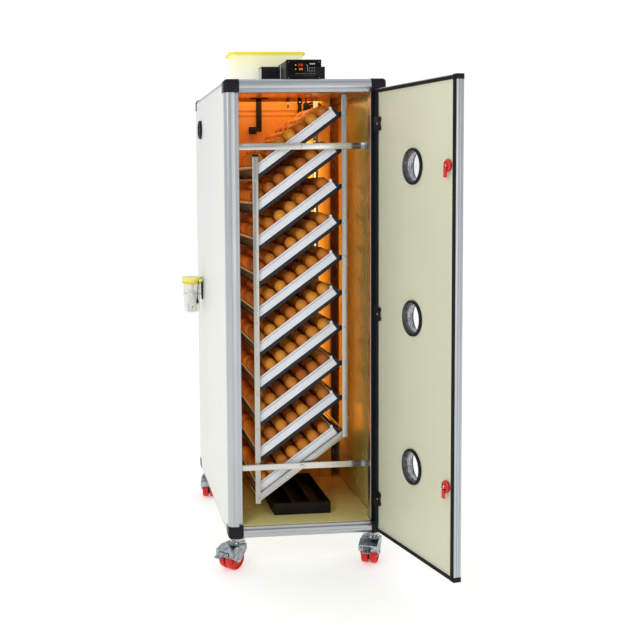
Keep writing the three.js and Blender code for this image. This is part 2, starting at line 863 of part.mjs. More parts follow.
function casters() {
  for (const [end_name, y_sign] of Object.entries(ends)) {
    for (const [side_name, x_sign] of Object.entries(sides)) {
      const place = `${end_name}_${side_name}`;
      const braked = y_sign < 0;
      const swivel = new THREE.Group();
      swivel.position.set(x_sign * caster.x, y_sign * caster.y, 0);
      swivel.rotation.z = THREE.MathUtils.degToRad(swivel_degrees[place]);
      incubator.add(swivel);
      piece(`caster_fork_${place}`, caster_fork(braked), zinc, swivel);

      const wheel = new THREE.Group();
      wheel.position.set(0, -caster.trail, caster.wheel_radius);
      wheel.rotation.y = Math.PI / 2;
      swivel.add(wheel);
      piece(`caster_wheel_${place}`, twin_wheel(), red_plastic, wheel);

      if (braked) {
        const pedal = new THREE.Group();
        pedal.position.set(0, -caster.trail - caster.wheel_radius - 10, pedal_pin_height);
        swivel.add(pedal);
        piece(`brake_pedal_${place}`, brake_pedal(), zinc, pedal);
      }
    }
  }
}

// ---- assembly ----

posts();
rail_ring("top_frame", 1);
rail_ring("bottom_frame", -1);
panels();

door_body();
["upper", "middle", "lower"].forEach((place, index) => {
  porthole_ring(`porthole_${place}`, porthole_heights()[index]);
  cabinet_hinge(`hinge_${place}`, hinge_heights()[index]);
});
door_latch("latch_upper", latch_heights()[0]);
door_latch("latch_lower", latch_heights()[1]);

for (let index = 1; index <= rack.trays; index += 1) {
  egg_tray(index);
}
rack_frame();
tilt_arm();
link("left_link", -1);
link("right_link", 1);

air_baffle();
fan_rotor();
heater();
turning_motor();
floor_water_tray();

roof_boxes();
roof_tank();
side_cup();
side_vent();
casters();

export default incubator;
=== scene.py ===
"""Looks of a cabinet egg incubator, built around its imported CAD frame. Metres, Z up, doorway towards -Y."""

import json
import math
import random

import bmesh
import bpy
from mathutils import Matrix, Vector


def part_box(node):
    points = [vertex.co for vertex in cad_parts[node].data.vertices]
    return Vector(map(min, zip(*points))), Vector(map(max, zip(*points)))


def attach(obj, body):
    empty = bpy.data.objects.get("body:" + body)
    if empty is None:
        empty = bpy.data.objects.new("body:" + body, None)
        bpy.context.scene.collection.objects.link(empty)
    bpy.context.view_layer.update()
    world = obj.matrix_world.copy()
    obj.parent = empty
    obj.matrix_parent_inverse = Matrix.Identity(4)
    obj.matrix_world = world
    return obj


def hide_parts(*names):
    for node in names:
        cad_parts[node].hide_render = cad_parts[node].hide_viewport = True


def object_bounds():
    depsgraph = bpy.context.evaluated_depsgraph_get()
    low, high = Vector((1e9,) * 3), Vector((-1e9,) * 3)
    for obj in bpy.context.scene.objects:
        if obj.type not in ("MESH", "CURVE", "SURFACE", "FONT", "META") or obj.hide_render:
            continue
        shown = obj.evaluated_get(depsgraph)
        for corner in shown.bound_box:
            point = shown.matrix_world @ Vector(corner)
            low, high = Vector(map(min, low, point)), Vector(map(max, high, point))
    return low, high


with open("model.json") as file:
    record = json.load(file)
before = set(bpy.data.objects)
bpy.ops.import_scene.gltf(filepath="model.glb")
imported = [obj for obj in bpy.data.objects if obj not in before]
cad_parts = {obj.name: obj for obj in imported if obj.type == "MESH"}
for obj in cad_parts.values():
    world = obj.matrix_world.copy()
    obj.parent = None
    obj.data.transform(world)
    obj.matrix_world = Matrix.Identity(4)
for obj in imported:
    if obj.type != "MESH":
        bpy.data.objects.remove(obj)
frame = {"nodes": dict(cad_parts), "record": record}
nodes = frame["nodes"]
joints = {joint["name"]: joint for joint in frame["record"]["behaviour"]["joints"]}
cad_box = [list(corner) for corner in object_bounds()]
MM = 0.001


def placed(name, data, place=Matrix()):
    """A new object in the scene."""
    made = bpy.data.objects.new(name, data)
    bpy.context.scene.collection.objects.link(made)
    made.matrix_world = place
    return made


# ---- camera ----

def aim_camera():
    """A long lens at door height, turned a little to the right, with the object left of its axis."""
    yaw, pitch, roll = 0.098, 0.080, -0.014
    forward = Vector((
        math.sin(yaw) * math.cos(pitch),
        math.cos(yaw) * math.cos(pitch),
        -math.sin(pitch),
    ))
    level = Vector((math.cos(yaw), -math.sin(yaw), 0))
    upright = level.cross(forward)
    right = math.cos(roll) * level + math.sin(roll) * upright
    up = math.cos(roll) * upright - math.sin(roll) * level
    lens = bpy.data.cameras.new("camera")
    lens.lens = 58.07
    lens.sensor_width = 36
    lens.shift_x = 0.1975
    lens.shift_y = -0.0874
    lens.clip_end = 60
    turn = Matrix((right, up, -forward)).transposed().to_4x4()
    eye = Matrix.Translation((-0.680, -3.670, 1.260))
    bpy.context.scene.camera = placed("camera", lens, eye @ turn)


aim_camera()


# ---- solids, in millimetres ----

X, Y, Z = Vector((1, 0, 0)), Vector((0, 1, 0)), Vector((0, 0, 1))
TO_AXIS = {
    "x": Matrix(((0, 0, 1, 0), (1, 0, 0, 0), (0, 1, 0, 0), (0, 0, 0, 1))),
    "y": Matrix(((0, 1, 0, 0), (0, 0, 1, 0), (1, 0, 0, 0), (0, 0, 0, 1))),
    "z": Matrix(),
}


def bevelled(solid, width, steps=2, chosen=None, sharp=0.6):
    """Rounds the chosen edges, or all that are sharper than an angle in radians."""
    if width <= 0:
        return solid
    edges = [edge for edge in solid.edges if edge.calc_face_angle(0) > sharp and (not chosen or chosen(edge))]
    bmesh.ops.bevel(solid, geom=edges, offset=width, offset_type="OFFSET", segments=steps, profile=0.5,
                    affect="EDGES", clamp_overlap=True)
    return solid


def box(corner, opposite, edge=0.6, steps=2, chosen=None):
    """A block between any two opposite corners."""
    solid = bmesh.new()
    bmesh.ops.create_cube(solid, size=1)
    corner, opposite = Vector(corner), Vector(opposite)
    for vertex in solid.verts:
        reach = Vector([part * abs(b - a) for part, a, b in zip(vertex.co, corner, opposite)])
        vertex.co = (corner + opposite) / 2 + reach
    return bevelled(solid, edge, steps, chosen)


def around(count, start=0.0):
    """Equal steps round a circle, in radians."""
    return [start + 2 * math.pi * step / count for step in range(count)]


def skinned(rings, closed=False, place=Matrix()):
    """A solid through rings of points, which closes on itself or is capped at both ends."""
    solid = bmesh.new()
    made = []
    for points in rings:
        pole = len(set(map(tuple, points))) == 1
        corners = [solid.verts.new(points[0])] * len(points) if pole else [solid.verts.new(p) for p in points]
        made.append(corners)
    if not closed:
        solid.faces.new(made[0])
        solid.faces.new(made[-1])
    for here, there in zip(made, made[1:] + made[:1] if closed else made[1:]):
        for index in range(len(here)):
            after = (index + 1) % len(here)
            corners = list(dict.fromkeys((here[index], here[after], there[after], there[index])))
            if len(corners) > 2:
                solid.faces.new(corners)
    bmesh.ops.recalc_face_normals(solid, faces=solid.faces)
    solid.transform(place)
    solid.normal_update()
    return solid


def prism(outline, along, span, edge=0.0, steps=2):
    """An outline in (y, z), (z, x) or (x, y), drawn out along x, y or z."""
    rings = [[(u, v, place) for u, v in outline] for place in sorted(span)]
    return bevelled(skinned(rings, place=TO_AXIS[along]), edge, steps)


def mirrored(half):
    """A closed outline from the half of it on one side; points on the mirror line stay single."""
    return half + [(u, -v) for u, v in reversed(half) if v]


def turned(outline, segments=48, place=Matrix()):
    """A turned solid from a closed outline of (radius, height) round z."""
    rings = []
    for radius, height in outline:
        radius = radius if radius >= 1e-6 else 0
        rings.append([(radius * math.cos(a), radius * math.sin(a), height) for a in around(segments)])
    return skinned(rings, True, place)


def pointing(start, end):
    """Axes at start, with z towards end."""
    turn = (Vector(end) - Vector(start)).to_track_quat("Z", "Y").to_matrix().to_4x4()
    return Matrix.Translation(start) @ turn


def rod(radius, start, end, segments=24, edge=0.4):
    """A round bar between two points."""
    length = (Vector(end) - Vector(start)).length
    outline = [(0, 0), (radius - edge, 0), (radius, edge),
               (radius, length - edge), (radius - edge, length), (0, length)]
    return turned(outline, segments, pointing(start, end))


def dome(radius, height, start, end, segments=24):
    """A domed head that stands on start and looks towards end."""
    angles = [math.pi / 2 * step / 5 for step in range(6)]
    outline = [(0, 0)] + [(radius * math.cos(a), 0.25 * height + 0.75 * height * math.sin(a)) for a in angles]
    outline.insert(1, (radius, 0))
    outline[-1] = (0, height)
    return turned(outline, segments, pointing(start, end))


def tube(points, radius, sides=12, closed=False):
    """A round wire along a line of points."""
    points = [Vector(point) for point in points]
    count = len(points)
    rings = []
    normal = None
    for index, point in enumerate(points):
        before = points[index - 1] if closed else points[max(index - 1, 0)]
        after = points[(index + 1) % count] if closed else points[min(index + 1, count - 1)]
        along = (after - before).normalized()
        if normal is None:
            normal = along.orthogonal().normalized()
        normal = (normal - along * normal.dot(along)).normalized()
        across = along.cross(normal)
        rings.append([point + radius * (math.cos(a) * normal + math.sin(a) * across) for a in around(sides)])
    return skinned(rings, closed)


def ring(low, high, outline):
    """A mitred rectangular ring in x and z, swept from a closed outline of (inset, y)."""
    corners = ((low, 1, low, 1), (high, -1, low, 1), (high, -1, high, -1), (low, 1, high, -1))
    return skinned([[(across[0] + x_in * a, y, upright[1] + z_in * a) for a, y in outline]
                    for across, x_in, upright, z_in in corners], True)


def less(solid, *tools):
    """The solid with the shapes of the tools taken out of it."""
    made = []
    for shape in (solid, *tools):
        mesh = bpy.data.meshes.new("cut")
        shape.to_mesh(mesh)
        shape.free()
        made.append(placed("cut", mesh))
    for tool in made[1:]:
        cutter = made[0].modifiers.new("cut", "BOOLEAN")
        cutter.object = tool
        cutter.solver = "EXACT"
    seen = made[0].evaluated_get(bpy.context.evaluated_depsgraph_get())
    result = bmesh.new()
    result.from_mesh(seen.to_mesh())
    seen.to_mesh_clear()
    for shape in made:
        mesh = shape.data
        bpy.data.objects.remove(shape)
        bpy.data.meshes.remove(mesh)
    bmesh.ops.dissolve_degenerate(result, dist=1e-4, edges=result.edges)
    result.normal_update()
    return result


class Piece:
    """A piece put together from closed solids, in millimetres in its own axes."""

    def __init__(self, name, surface, place=Matrix()):
        self.name = name
        self.place = place
        self.surfaces = []
        self.shape = bmesh.new()
        self.tone_and_shade = self.shape.verts.layers.float.new("tone_and_shade")
        self.of(surface)

    def of(self, surface):
        """What is added next has this surface."""
        if surface not in self.surfaces:
            self.surfaces.append(surface)
        self.current = self.surfaces.index(surface)
        return self

    def add(self, *solids, tone_and_shade=0.5):
        for solid in solids:
            for face in solid.faces:
                face.material_index = self.current
            mark = solid.verts.layers.float.new("tone_and_shade")
            for vertex in solid.verts:
                vertex[mark] = tone_and_shade
            mesh = bpy.data.meshes.new("part")
            solid.to_mesh(mesh)
            solid.free()
            self.shape.from_mesh(mesh)
            bpy.data.meshes.remove(mesh)
        return self

    def paint(self, surface, test):
        """Gives the faces that pass the test another surface."""
        self.of(surface)
        for face in self.shape.faces:
            if test(face):
                face.material_index = self.current
        return self

    def done(self, body, slot, *replaced, angle=32):
        mesh = bpy.data.meshes.new(self.name)
        self.shape.transform(Matrix.Scale(MM, 4))
        self.shape.to_mesh(mesh)
        self.shape.free()
        for surface in self.surfaces:
            mesh.materials.append(look[surface])
        mesh.shade_smooth()
        mesh.set_sharp_from_angle(angle=math.radians(angle))
        made = placed(self.name, mesh, self.place)
        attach(made, body)
        if replaced:
            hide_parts(*replaced)
        return made


def at(x, y, z, degrees=0, axis="Z"):
    """Axes at a place in millimetres, turned about one axis."""
    return Matrix.Translation((x * MM, y * MM, z * MM)) @ Matrix.Rotation(math.radians(degrees), 4, axis)


def joint_place(name):
    return [value / MM for value in joints[name]["pos_m"]]


def box_of(node):
    """A CAD node's lowest and highest corners, in millimetres."""
    return [[value / MM for value in corner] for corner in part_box(node)]


def middle(node):
    return [(low + high) / 2 for low, high in zip(*box_of(node))]


# ---- materials ----

class Nodes:
    """A node tree, with short ways to add nodes."""

    def __init__(self, owner):
        owner.use_nodes = True
        self.tree = owner.node_tree

    def feed(self, node, inputs):
        for key, value in inputs.items():
            if isinstance(value, bpy.types.NodeSocket):
                self.tree.links.new(value, node.inputs[key])
            else:
                node.inputs[key].default_value = value
        return node

    def add(self, kind, inputs=None, **settings):
        node = self.tree.nodes.new(kind)
        for key, value in settings.items():
            setattr(node, key, value)
        return self.feed(node, inputs or {})

    def ramp(self, factor, *stops):
        made = self.add("ShaderNodeValToRGB", {"Fac": factor})
        marks = made.color_ramp.elements
        while len(marks) < len(stops):
            marks.new(0.5)
        for mark, (position, value) in zip(marks, stops):
            mark.position = position
            mark.color = value if isinstance(value, tuple) else (value, value, value, 1)
        return made.outputs["Color"]

    def between(self, factor, low, high, start=0.3, end=0.7):
        limits = {"From Min": start, "From Max": end, "To Min": low, "To Max": high}
        return self.add("ShaderNodeMapRange", {"Value": factor, **limits}).outputs["Result"]


class Shader(Nodes):
    """A material's nodes, with what most surfaces need."""

    def __init__(self, name, **sockets):
        self.material = bpy.data.materials.new(name)
        super().__init__(self.material)
        self.surface = self.tree.nodes["Principled BSDF"]
        self.set(**sockets)
        self.place = self.add("ShaderNodeTexCoord").outputs["Object"]

    def set(self, **sockets):
        self.feed(self.surface, {key.replace("_", " "): value for key, value in sockets.items()})

    def noise(self, scale, stretch=(1, 1, 1), detail=3.0, rough=0.5):
        mapped = self.add("ShaderNodeMapping", {"Vector": self.place, "Scale": stretch})
        settings = {"Vector": mapped.outputs[0], "Scale": scale, "Detail": detail, "Roughness": rough}
        return self.add("ShaderNodeTexNoise", settings).outputs["Fac"]

    def along(self, axis):
        """The place along an axis, in metres."""
        return self.add("ShaderNodeSeparateXYZ", {"Vector": self.place}).outputs[axis]

    def plus(self, first, second, by=1.0):
        """The first value, plus the second times a factor."""
        return self.add("ShaderNodeMath", {0: second, 1: by, 2: first}, operation="MULTIPLY_ADD").outputs[0]

    def mixed(self, factor, first, second, blend="MIX"):
        made = self.add("ShaderNodeMix", data_type="RGBA", blend_type=blend)
        return self.feed(made, {0: factor, 6: first, 7: second}).outputs[2]

    def graded(self, place, stops, shift=0.0):
        """Colours at places in metres, blended between them."""
        start, end = stops[0][0], stops[-1][0]
        span = self.between(place, 0, 1, start + shift, end + shift)
        return self.ramp(span, *[((where - start) / (end - start), color) for where, color in stops])

    def bump(self, height, strength=0.2, distance=0.0005):
        made = self.add("ShaderNodeBump", {"Height": height, "Strength": strength, "Distance": distance})
        self.set(Normal=made.outputs["Normal"])


def shade(color, factor):
    return tuple(min(1.0, channel * factor) for channel in color[:3]) + (1,)


def plain(name, color, roughness, metallic=0.0, spread=0.06, blotch=9.0, grain=900.0, bump=0.12, **more):
    """A surface with slow colour variation, uneven gloss and a fine grain."""
    made = Shader(name, Metallic=metallic, **more)
    slow = made.noise(blotch)
    low, high = shade(color, 1 - spread), shade(color, 1 + spread)
    made.set(Base_Color=made.ramp(slow, (0.35, low), (0.65, high)))
    made.set(Roughness=made.between(made.noise(blotch * 4), roughness * 0.85, roughness * 1.15))
    made.bump(made.noise(grain, detail=2), bump, 0.0003)
    return made.material


def drawn_metal(name, color, roughness, stretch, spread=0.05, bump=0.1, **more):
    """Metal with fine lines along one direction, as rolling, extruding or brushing leaves."""
    made = Shader(name, Metallic=1.0, **more)
    lines = made.noise(420, stretch, detail=4, rough=0.6)
    low, high = shade(color, 1 - spread), shade(color, 1 + spread)
    cloud = made.ramp(made.noise(5), (0.3, 0.93), (0.7, 1.0))
    streaked = made.ramp(lines, (0.3, low), (0.7, high))
    made.set(Base_Color=made.mixed(1.0, streaked, cloud, "MULTIPLY"))
    made.set(Roughness=made.between(lines, roughness * 0.8, roughness * 1.25))
    made.bump(lines, bump, 0.0002)
    return made.material


def painted_glow_wall(name, axis, stops, reflection_color, roughness=0.22, spread=0.3):
    """Painted sheet in the cabinet: painted glow deepens its tint along an axis; pale soft spots are painted
    reflections.
    """
    made = Shader(name, Specular_IOR_Level=0.5)
    wander = made.noise(3.2, (1, 1, 0.55), detail=2, rough=0.45)
    # Painted light: the tint changes along the axis as the warm light falls off.
    tint = made.graded(made.plus(made.along(axis), wander, spread), stops, spread * 0.5)
    # Painted reflections: pale soft spots mixed over the painted glow.
    reflection_spots = made.ramp(made.noise(4.5, (1, 1, 0.6), detail=1.5), (0.52, 0.0), (0.72, 1.0))
    reflection_weight = made.add("ShaderNodeMath", {0: reflection_spots, 1: 0.45}, operation="MULTIPLY").outputs[0]
    made.set(Base_Color=made.mixed(reflection_weight, tint, reflection_color))
    made.set(Roughness=made.between(made.noise(14), roughness * 0.8, roughness * 1.3))
    made.bump(made.noise(9, detail=1), 0.25, 0.004)
    return made.material


def egg_shell():
    """Brown shells: each its own colour, which also carries painted shade on the rows behind, with freckles
    and a fine pore grain.
    """
    made = Shader("egg_shell", Specular_IOR_Level=0.35)
    tone_and_shade = made.add("ShaderNodeAttribute", attribute_name="tone_and_shade").outputs["Fac"]
    # Low values give dark brown: random darker shells, and painted shade on the rows behind the front.
    color = made.ramp(
        tone_and_shade,
        (0.0, (0.30, 0.045, 0.004, 1)),
        (0.45, (0.52, 0.14, 0.008, 1)),
        (1.0, (0.78, 0.30, 0.022, 1)),
    )
    freckles = made.ramp(made.noise(620, detail=2), (0.34, 0.80), (0.50, 1.0))
    clouds = made.ramp(made.noise(40), (0.3, 0.88), (0.7, 1.0))
    color = made.mixed(1.0, color, freckles, "MULTIPLY")
    made.set(Base_Color=made.mixed(1.0, color, clouds, "MULTIPLY"))
    made.set(Roughness=made.between(made.noise(60), 0.33, 0.48))
    made.bump(made.noise(1800, detail=2), 0.12, 0.0002)
    return made.material


def clear(name, color, roughness, ior, bump=0.05, **more):
    """Clear moulded plastic or glass, with slight ripples and uneven polish."""
    made = Shader(name, Transmission_Weight=1.0, IOR=ior, **more)
    made.set(Base_Color=made.ramp(made.noise(20), (0.3, shade(color, 0.97)), (0.7, color)))
    made.set(Roughness=made.between(made.noise(30), roughness * 0.7, roughness * 1.3))
    made.bump(made.noise(30, detail=1), bump, 0.001)
    return made.material


def milky(name, axis, stops, **more):
    """Translucent moulded plastic whose tint changes with height."""
    made = Shader(name, Roughness=0.35, **more)
    tint = made.graded(made.along(axis), stops)
    haze = made.ramp(made.noise(18), (0.3, 0.96), (0.7, 1.0))
    made.set(Base_Color=made.mixed(1.0, tint, haze, "MULTIPLY"))
    made.set(Roughness=made.between(made.noise(40), 0.28, 0.42))
    made.bump(made.noise(500, detail=2), 0.05, 0.0003)
    return made.material


def lit(name, color, strength):
    """A lit display segment: brighter and darker along itself, as diffused lamps are."""
    made = Shader(name, Emission_Strength=strength, Roughness=0.4)
    glow = made.ramp(made.noise(700, detail=1), (0.3, shade(color, 0.75)), (0.7, color))
    made.set(Base_Color=glow, Emission_Color=glow)
    return made.material


def polished_bar():
    """Brushed stainless, darker in two stretches towards its right end."""
    made = Shader("stainless_bar", Metallic=1.0)
    lines = made.noise(420, (0.02, 1, 1), detail=4, rough=0.6)
    streaked = made.ramp(lines, (0.3, (0.56, 0.55, 0.50, 1)), (0.7, (0.68, 0.67, 0.62, 1)))
    span = made.between(made.along("X"), 0, 1, 0.150, 0.230)
    darker_stretches = made.ramp(
        span, (0.08, 1.0), (0.14, 0.42), (0.46, 0.5), (0.52, 0.95), (0.62, 0.95), (0.68, 0.34), (1.0, 0.42))
    made.set(Base_Color=made.mixed(1.0, streaked, darker_stretches, "MULTIPLY"))
    made.set(Roughness=made.between(lines, 0.2, 0.34))
    made.bump(lines, 0.1, 0.0002)
    return made.material


ALONG_X, ALONG_Y, ALONG_Z = (0.02, 1, 1), (1, 0.02, 1), (1, 1, 0.02)
ALUMINIUM = (0.50, 0.52, 0.54, 1)
STEEL = (0.50, 0.49, 0.46, 1)

look = {
    "post": drawn_metal("aluminium_upright", ALUMINIUM, 0.34, ALONG_Z),
    "rail": drawn_metal("aluminium_across", ALUMINIUM, 0.34, ALONG_X),
    "rail_deep": drawn_metal("aluminium_deep", ALUMINIUM, 0.34, ALONG_Y),
    "side": plain("panel_off_white", (0.80, 0.80, 0.745, 1), 0.42, blotch=2.5, spread=0.012, bump=0.04),
    "cream": plain("panel_cream", (0.66, 0.66, 0.49, 1), 0.45, blotch=2.5, spread=0.012, bump=0.04),
    # Painted light: on the side walls, ceiling and floor, the orange deepening to the back is painted glow
    # and the pale spots are painted reflections; on the back wall, orange itself, the brightening to the
    # right and the pale spots are painted light.
    "wall": painted_glow_wall(
        "panel_warm_side", "Y",
        ((-0.44, (0.34, 0.36, 0.13, 1)), (-0.20, (0.36, 0.33, 0.09, 1)), (-0.02, (0.55, 0.33, 0.05, 1)),
         (0.12, (0.70, 0.28, 0.03, 1))),
        (0.60, 0.46, 0.16, 1)),
    "wall_back": painted_glow_wall(
        "panel_warm_back", "X",
        ((-0.23, (0.70, 0.25, 0.012, 1)), (0.0, (0.72, 0.26, 0.014, 1)), (0.12, (0.82, 0.40, 0.05, 1)),
         (0.23, (0.86, 0.48, 0.09, 1))),
        (0.86, 0.42, 0.06, 1), spread=0.06),
    "ceiling": painted_glow_wall(
        "panel_warm_top", "Y", ((-0.44, (0.84, 0.50, 0.16, 1)), (0.10, (0.84, 0.42, 0.09, 1))),
        (0.92, 0.60, 0.26, 1), spread=0.1),
    "floor": painted_glow_wall(
        "panel_warm_floor", "Y",
        ((-0.44, (0.74, 0.66, 0.28, 1)), (-0.25, (0.70, 0.60, 0.20, 1)), (0.10, (0.66, 0.42, 0.08, 1))),
        (0.80, 0.72, 0.32, 1), spread=0.1),
    "rubber": plain("rubber_black", (0.006, 0.006, 0.007, 1), 0.6, bump=0.25, Specular_IOR_Level=0.2),
    "black": plain("plastic_black", (0.007, 0.007, 0.009, 1), 0.42, grain=1600, bump=0.2,
                   Specular_IOR_Level=0.2),
    "soot": plain("plastic_brown_black", (0.014, 0.008, 0.004, 1), 0.5, blotch=20, spread=0.2,
                  Specular_IOR_Level=0.2),
    "bevel": plain("ring_bevel", (0.05, 0.05, 0.055, 1), 0.12, blotch=50, spread=0.4, grain=120, bump=0.4),
    "beam": plain("beam_black", (0.010, 0.013, 0.020, 1), 0.38, grain=1400, bump=0.18,
                  Specular_IOR_Level=0.3),
    "trough": plain("trough_black", (0.010, 0.009, 0.006, 1), 0.6, blotch=14, spread=0.3, grain=1200,
                    bump=0.2, Specular_IOR_Level=0.15),
    "panel_gloss": plain("display_pane", (0.004, 0.004, 0.005, 1), 0.14, grain=1200, bump=0.03,
                         Specular_IOR_Level=0.12),
    "red": plain("plastic_red", (0.70, 0.022, 0.012, 1), 0.3, grain=1200, bump=0.1),
    "wheel": plain("wheel_red", (0.66, 0.014, 0.006, 1), 0.3, Specular_IOR_Level=0.35, blotch=30, grain=700),
    "zinc": plain("zinc_plated", (0.33, 0.37, 0.39, 1), 0.26, metallic=1.0, blotch=60, spread=0.35, bump=0.3),
    "bright": plain("plated_bright", (0.66, 0.67, 0.68, 1), 0.18, metallic=1.0, blotch=40, spread=0.06),
    "bar": polished_bar(),
    "steel_up": drawn_metal("stainless_upright", STEEL, 0.3, ALONG_Z),
    "steel": drawn_metal("stainless_across", STEEL, 0.3, ALONG_X),
    "brown": plain("bracket_brown", (0.11, 0.055, 0.016, 1), 0.5, blotch=20, spread=0.2),
    "white": plain("tray_white", (0.80, 0.81, 0.84, 1), 0.38, grain=800, spread=0.03),
    "mark": plain("mark_white", (0.72, 0.72, 0.70, 1), 0.5),
    "dim": plain("mark_grey", (0.16, 0.16, 0.16, 1), 0.5),
    # Painted light: the lid glows faintly by emission, though it is no lamp.
    "yellow": plain("lid_yellow", (0.95, 0.84, 0.02, 1), 0.3, spread=0.03, Emission_Color=(0.9, 0.8, 0.0, 1),
                    Emission_Strength=0.08),
    "pale_yellow": milky("lid_pale", "Z", ((0.876, (0.86, 0.66, 0.02, 1)), (0.884, (0.93, 0.84, 0.20, 1)),
                                           (0.905, (0.93, 0.86, 0.36, 1)))),
    # Painted light: the tank glows by emission, though it is no lamp, to look brightly lit.
    "tank": milky("tank_milky", "Z", ((1.577, (0.95, 0.95, 0.91, 1)), (1.63, (0.94, 0.93, 0.80, 1)),
                                      (1.68, (0.93, 0.91, 0.52, 1))),
                   Emission_Color=(0.98, 0.95, 0.66, 1), Emission_Strength=0.22),
    "cup": plain("cup_clear", (0.88, 0.89, 0.88, 1), 0.16, blotch=30, spread=0.04, grain=500, bump=0.05,
                 Alpha=0.26),
    "pane": clear("pane_clear", (0.98, 0.985, 0.99, 1), 0.02, 1.08, bump=0.01),
    "water": clear("water_clear", (0.95, 0.97, 0.96, 1), 0.01, 1.05),
    "grey": plain("plastic_grey", (0.30, 0.32, 0.33, 1), 0.5),
    "light_grey": plain("case_light", (0.55, 0.57, 0.57, 1), 0.4),
    "tunnel": plain("tunnel_grey", (0.30, 0.30, 0.32, 1), 0.14, metallic=0.9, blotch=60, spread=0.4, grain=90,
                    bump=0.5),
    "float": plain("float_pale", (0.86, 0.83, 0.70, 1), 0.5),
    "guard": plain("guard_orange", (0.86, 0.30, 0.07, 1), 0.4),
    "digits_red": lit("digits_red", (1.0, 0.05, 0.03, 1), 0.8),
    "digits_orange": lit("digits_orange", (1.0, 0.42, 0.05, 1), 0.8),
    "shell": egg_shell(),
}

BY_SLOT = {
    "aluminium": "post",
    "side_panel": "side",
    "cream_panel": "cream",
    "orange_panel": "wall_back",
    "black_rubber": "rubber",
    "black_plastic": "black",
    "red_plastic": "red",
    "red_wheel": "wheel",
    "zinc": "zinc",
    "steel": "steel",
    "white_tray": "white",
    "yellow_plastic": "yellow",
    "clear_tank": "tank",
    "clear_plastic": "cup",
    "grey_plastic": "grey",
}


def paint_frame():
    """Gives every CAD node its slot's material."""
    for part in frame["record"]["subparts"]:
        mesh = nodes[part["node"]].data
        mesh.materials.clear()
        mesh.materials.append(look[BY_SLOT[part["material_slot"]]])


paint_frame()


# ---- cabinet ----

PROUD = 0.8
high_frame, low_frame = box_of("top_frame"), box_of("bottom_frame")
SIDE, BACK = high_frame[1][0] - PROUD, high_frame[1][1] - PROUD
TOP, BOTTOM = high_frame[1][2] - PROUD, low_frame[0][2] + PROUD
PROFILE, RAIL, BEAD, LIP, RAIL_LIP, GAP = 48, 41, 16, 14, 12, 0.3
REACH, RISE = PROFILE + 0.4, RAIL + 0.4
WALL = SIDE - 28
FLOOR = box_of("floor_panel")[1][2]
CEILING = box_of("roof_panel")[0][2]
SIGNS = {"left": -1, "right": 1, "front": -1, "rear": 1}
CORNERS = [(end, side) for end in ("front", "rear") for side in ("left", "right")]


def profile(lip=0, seat=False, wide=PROFILE, deep=PROFILE, step=LIP):
    """Section of the frame extrusion: a runs inwards along its flat face, b inwards from that face."""
    arc = [math.pi / 2 * step / 10 for step in range(11)]
    points = [(BEAD * (1 - math.cos(t)), BEAD * (1 - math.sin(t))) for t in arc]
    points += [(18.2, 0), (18.6, 1.1), (19.6, 1.1), (20.0, 0)]
    if lip:
        edge = wide - lip
        points += [(edge - 1.2, 0), (edge - 0.3, 0.4), (edge, 1.2), (edge, step)]
        points += [(wide - 1, step), (wide, step + 1)]
    else:
        points += [(wide - 1, 0), (wide, 1)]
    points += [(wide, deep)]
    if seat:
        points += [(28.3, deep), (28.3, BEAD + GAP), (0, BEAD + GAP)]
    else:
        points += [(0, deep)]
    return points


def is_shaded_lip(face):
    """The set-back strip of the right post, and the step down to it."""
    place, facing = face.calc_center_median(), face.normal
    on_strip = facing.y < -0.9 and place.y > -BACK + LIP - 1 and place.x < SIDE - PROFILE + LIP
    on_step = facing.x < -0.9 and place.y < -BACK + LIP + 1
    return on_strip or on_step


KEEPER_SLOTS = (1294, 388)


def posts():
    low, high = BOTTOM + RISE + GAP, TOP - RISE - GAP
    for end, side in CORNERS:
        x_sign, y_sign = SIGNS[side], SIGNS[end]
        section = profile(LIP * (end == "front"), True)
        outline = [(x_sign * (SIDE - a), y_sign * (BACK - b)) for a, b in section]
        body = prism(outline, "z", (low, high))
        if (end, side) == ("front", "left"):
            body = less(body, *[box((-247, -438, z - 36), (-225, -430, z + 8), 0) for z in KEEPER_SLOTS])
        post = Piece(f"upright_{end}_{side}", "post").add(body)
        # Painted shade: the set-back strip and its step get black rubber for the shade in the slit beside the
        # door.
        if (end, side) == ("front", "right"):
            post.paint("rubber", is_shaded_lip)
        post.done("cabinet", "aluminium", f"post_{end}_{side}")


def rails():
    for level, z_sign in (("top", 1), ("bottom", -1)):
        outer = TOP if z_sign > 0 else BOTTOM
        low = 0 if z_sign > 0 else 3
        node = f"{level}_frame"
        for end in ("front", "rear"):
            section = profile((RAIL_LIP - low) * (end == "front"), wide=RAIL - low, step=LIP - 2 * low)
            outline = [(SIGNS[end] * (BACK - b), outer - z_sign * a) for a, b in section]
            reach = SIDE - REACH - GAP
            Piece(f"rail_{level}_{end}", "rail").add(prism(outline, "x", (-reach, reach))).done(
                "cabinet", "aluminium", node)
        for side in ("left", "right"):
            section = profile(seat=True, deep=RAIL - low)
            outline = [(outer - z_sign * b, SIGNS[side] * (SIDE - a)) for a, b in section]
            reach = BACK - REACH - GAP
            Piece(f"rail_{level}_{side}", "rail_deep").add(prism(outline, "y", (-reach, reach))).done(
                "cabinet", "aluminium", node)
        for end, side in CORNERS:
            corner_block(level, end, side, z_sign, outer, node)


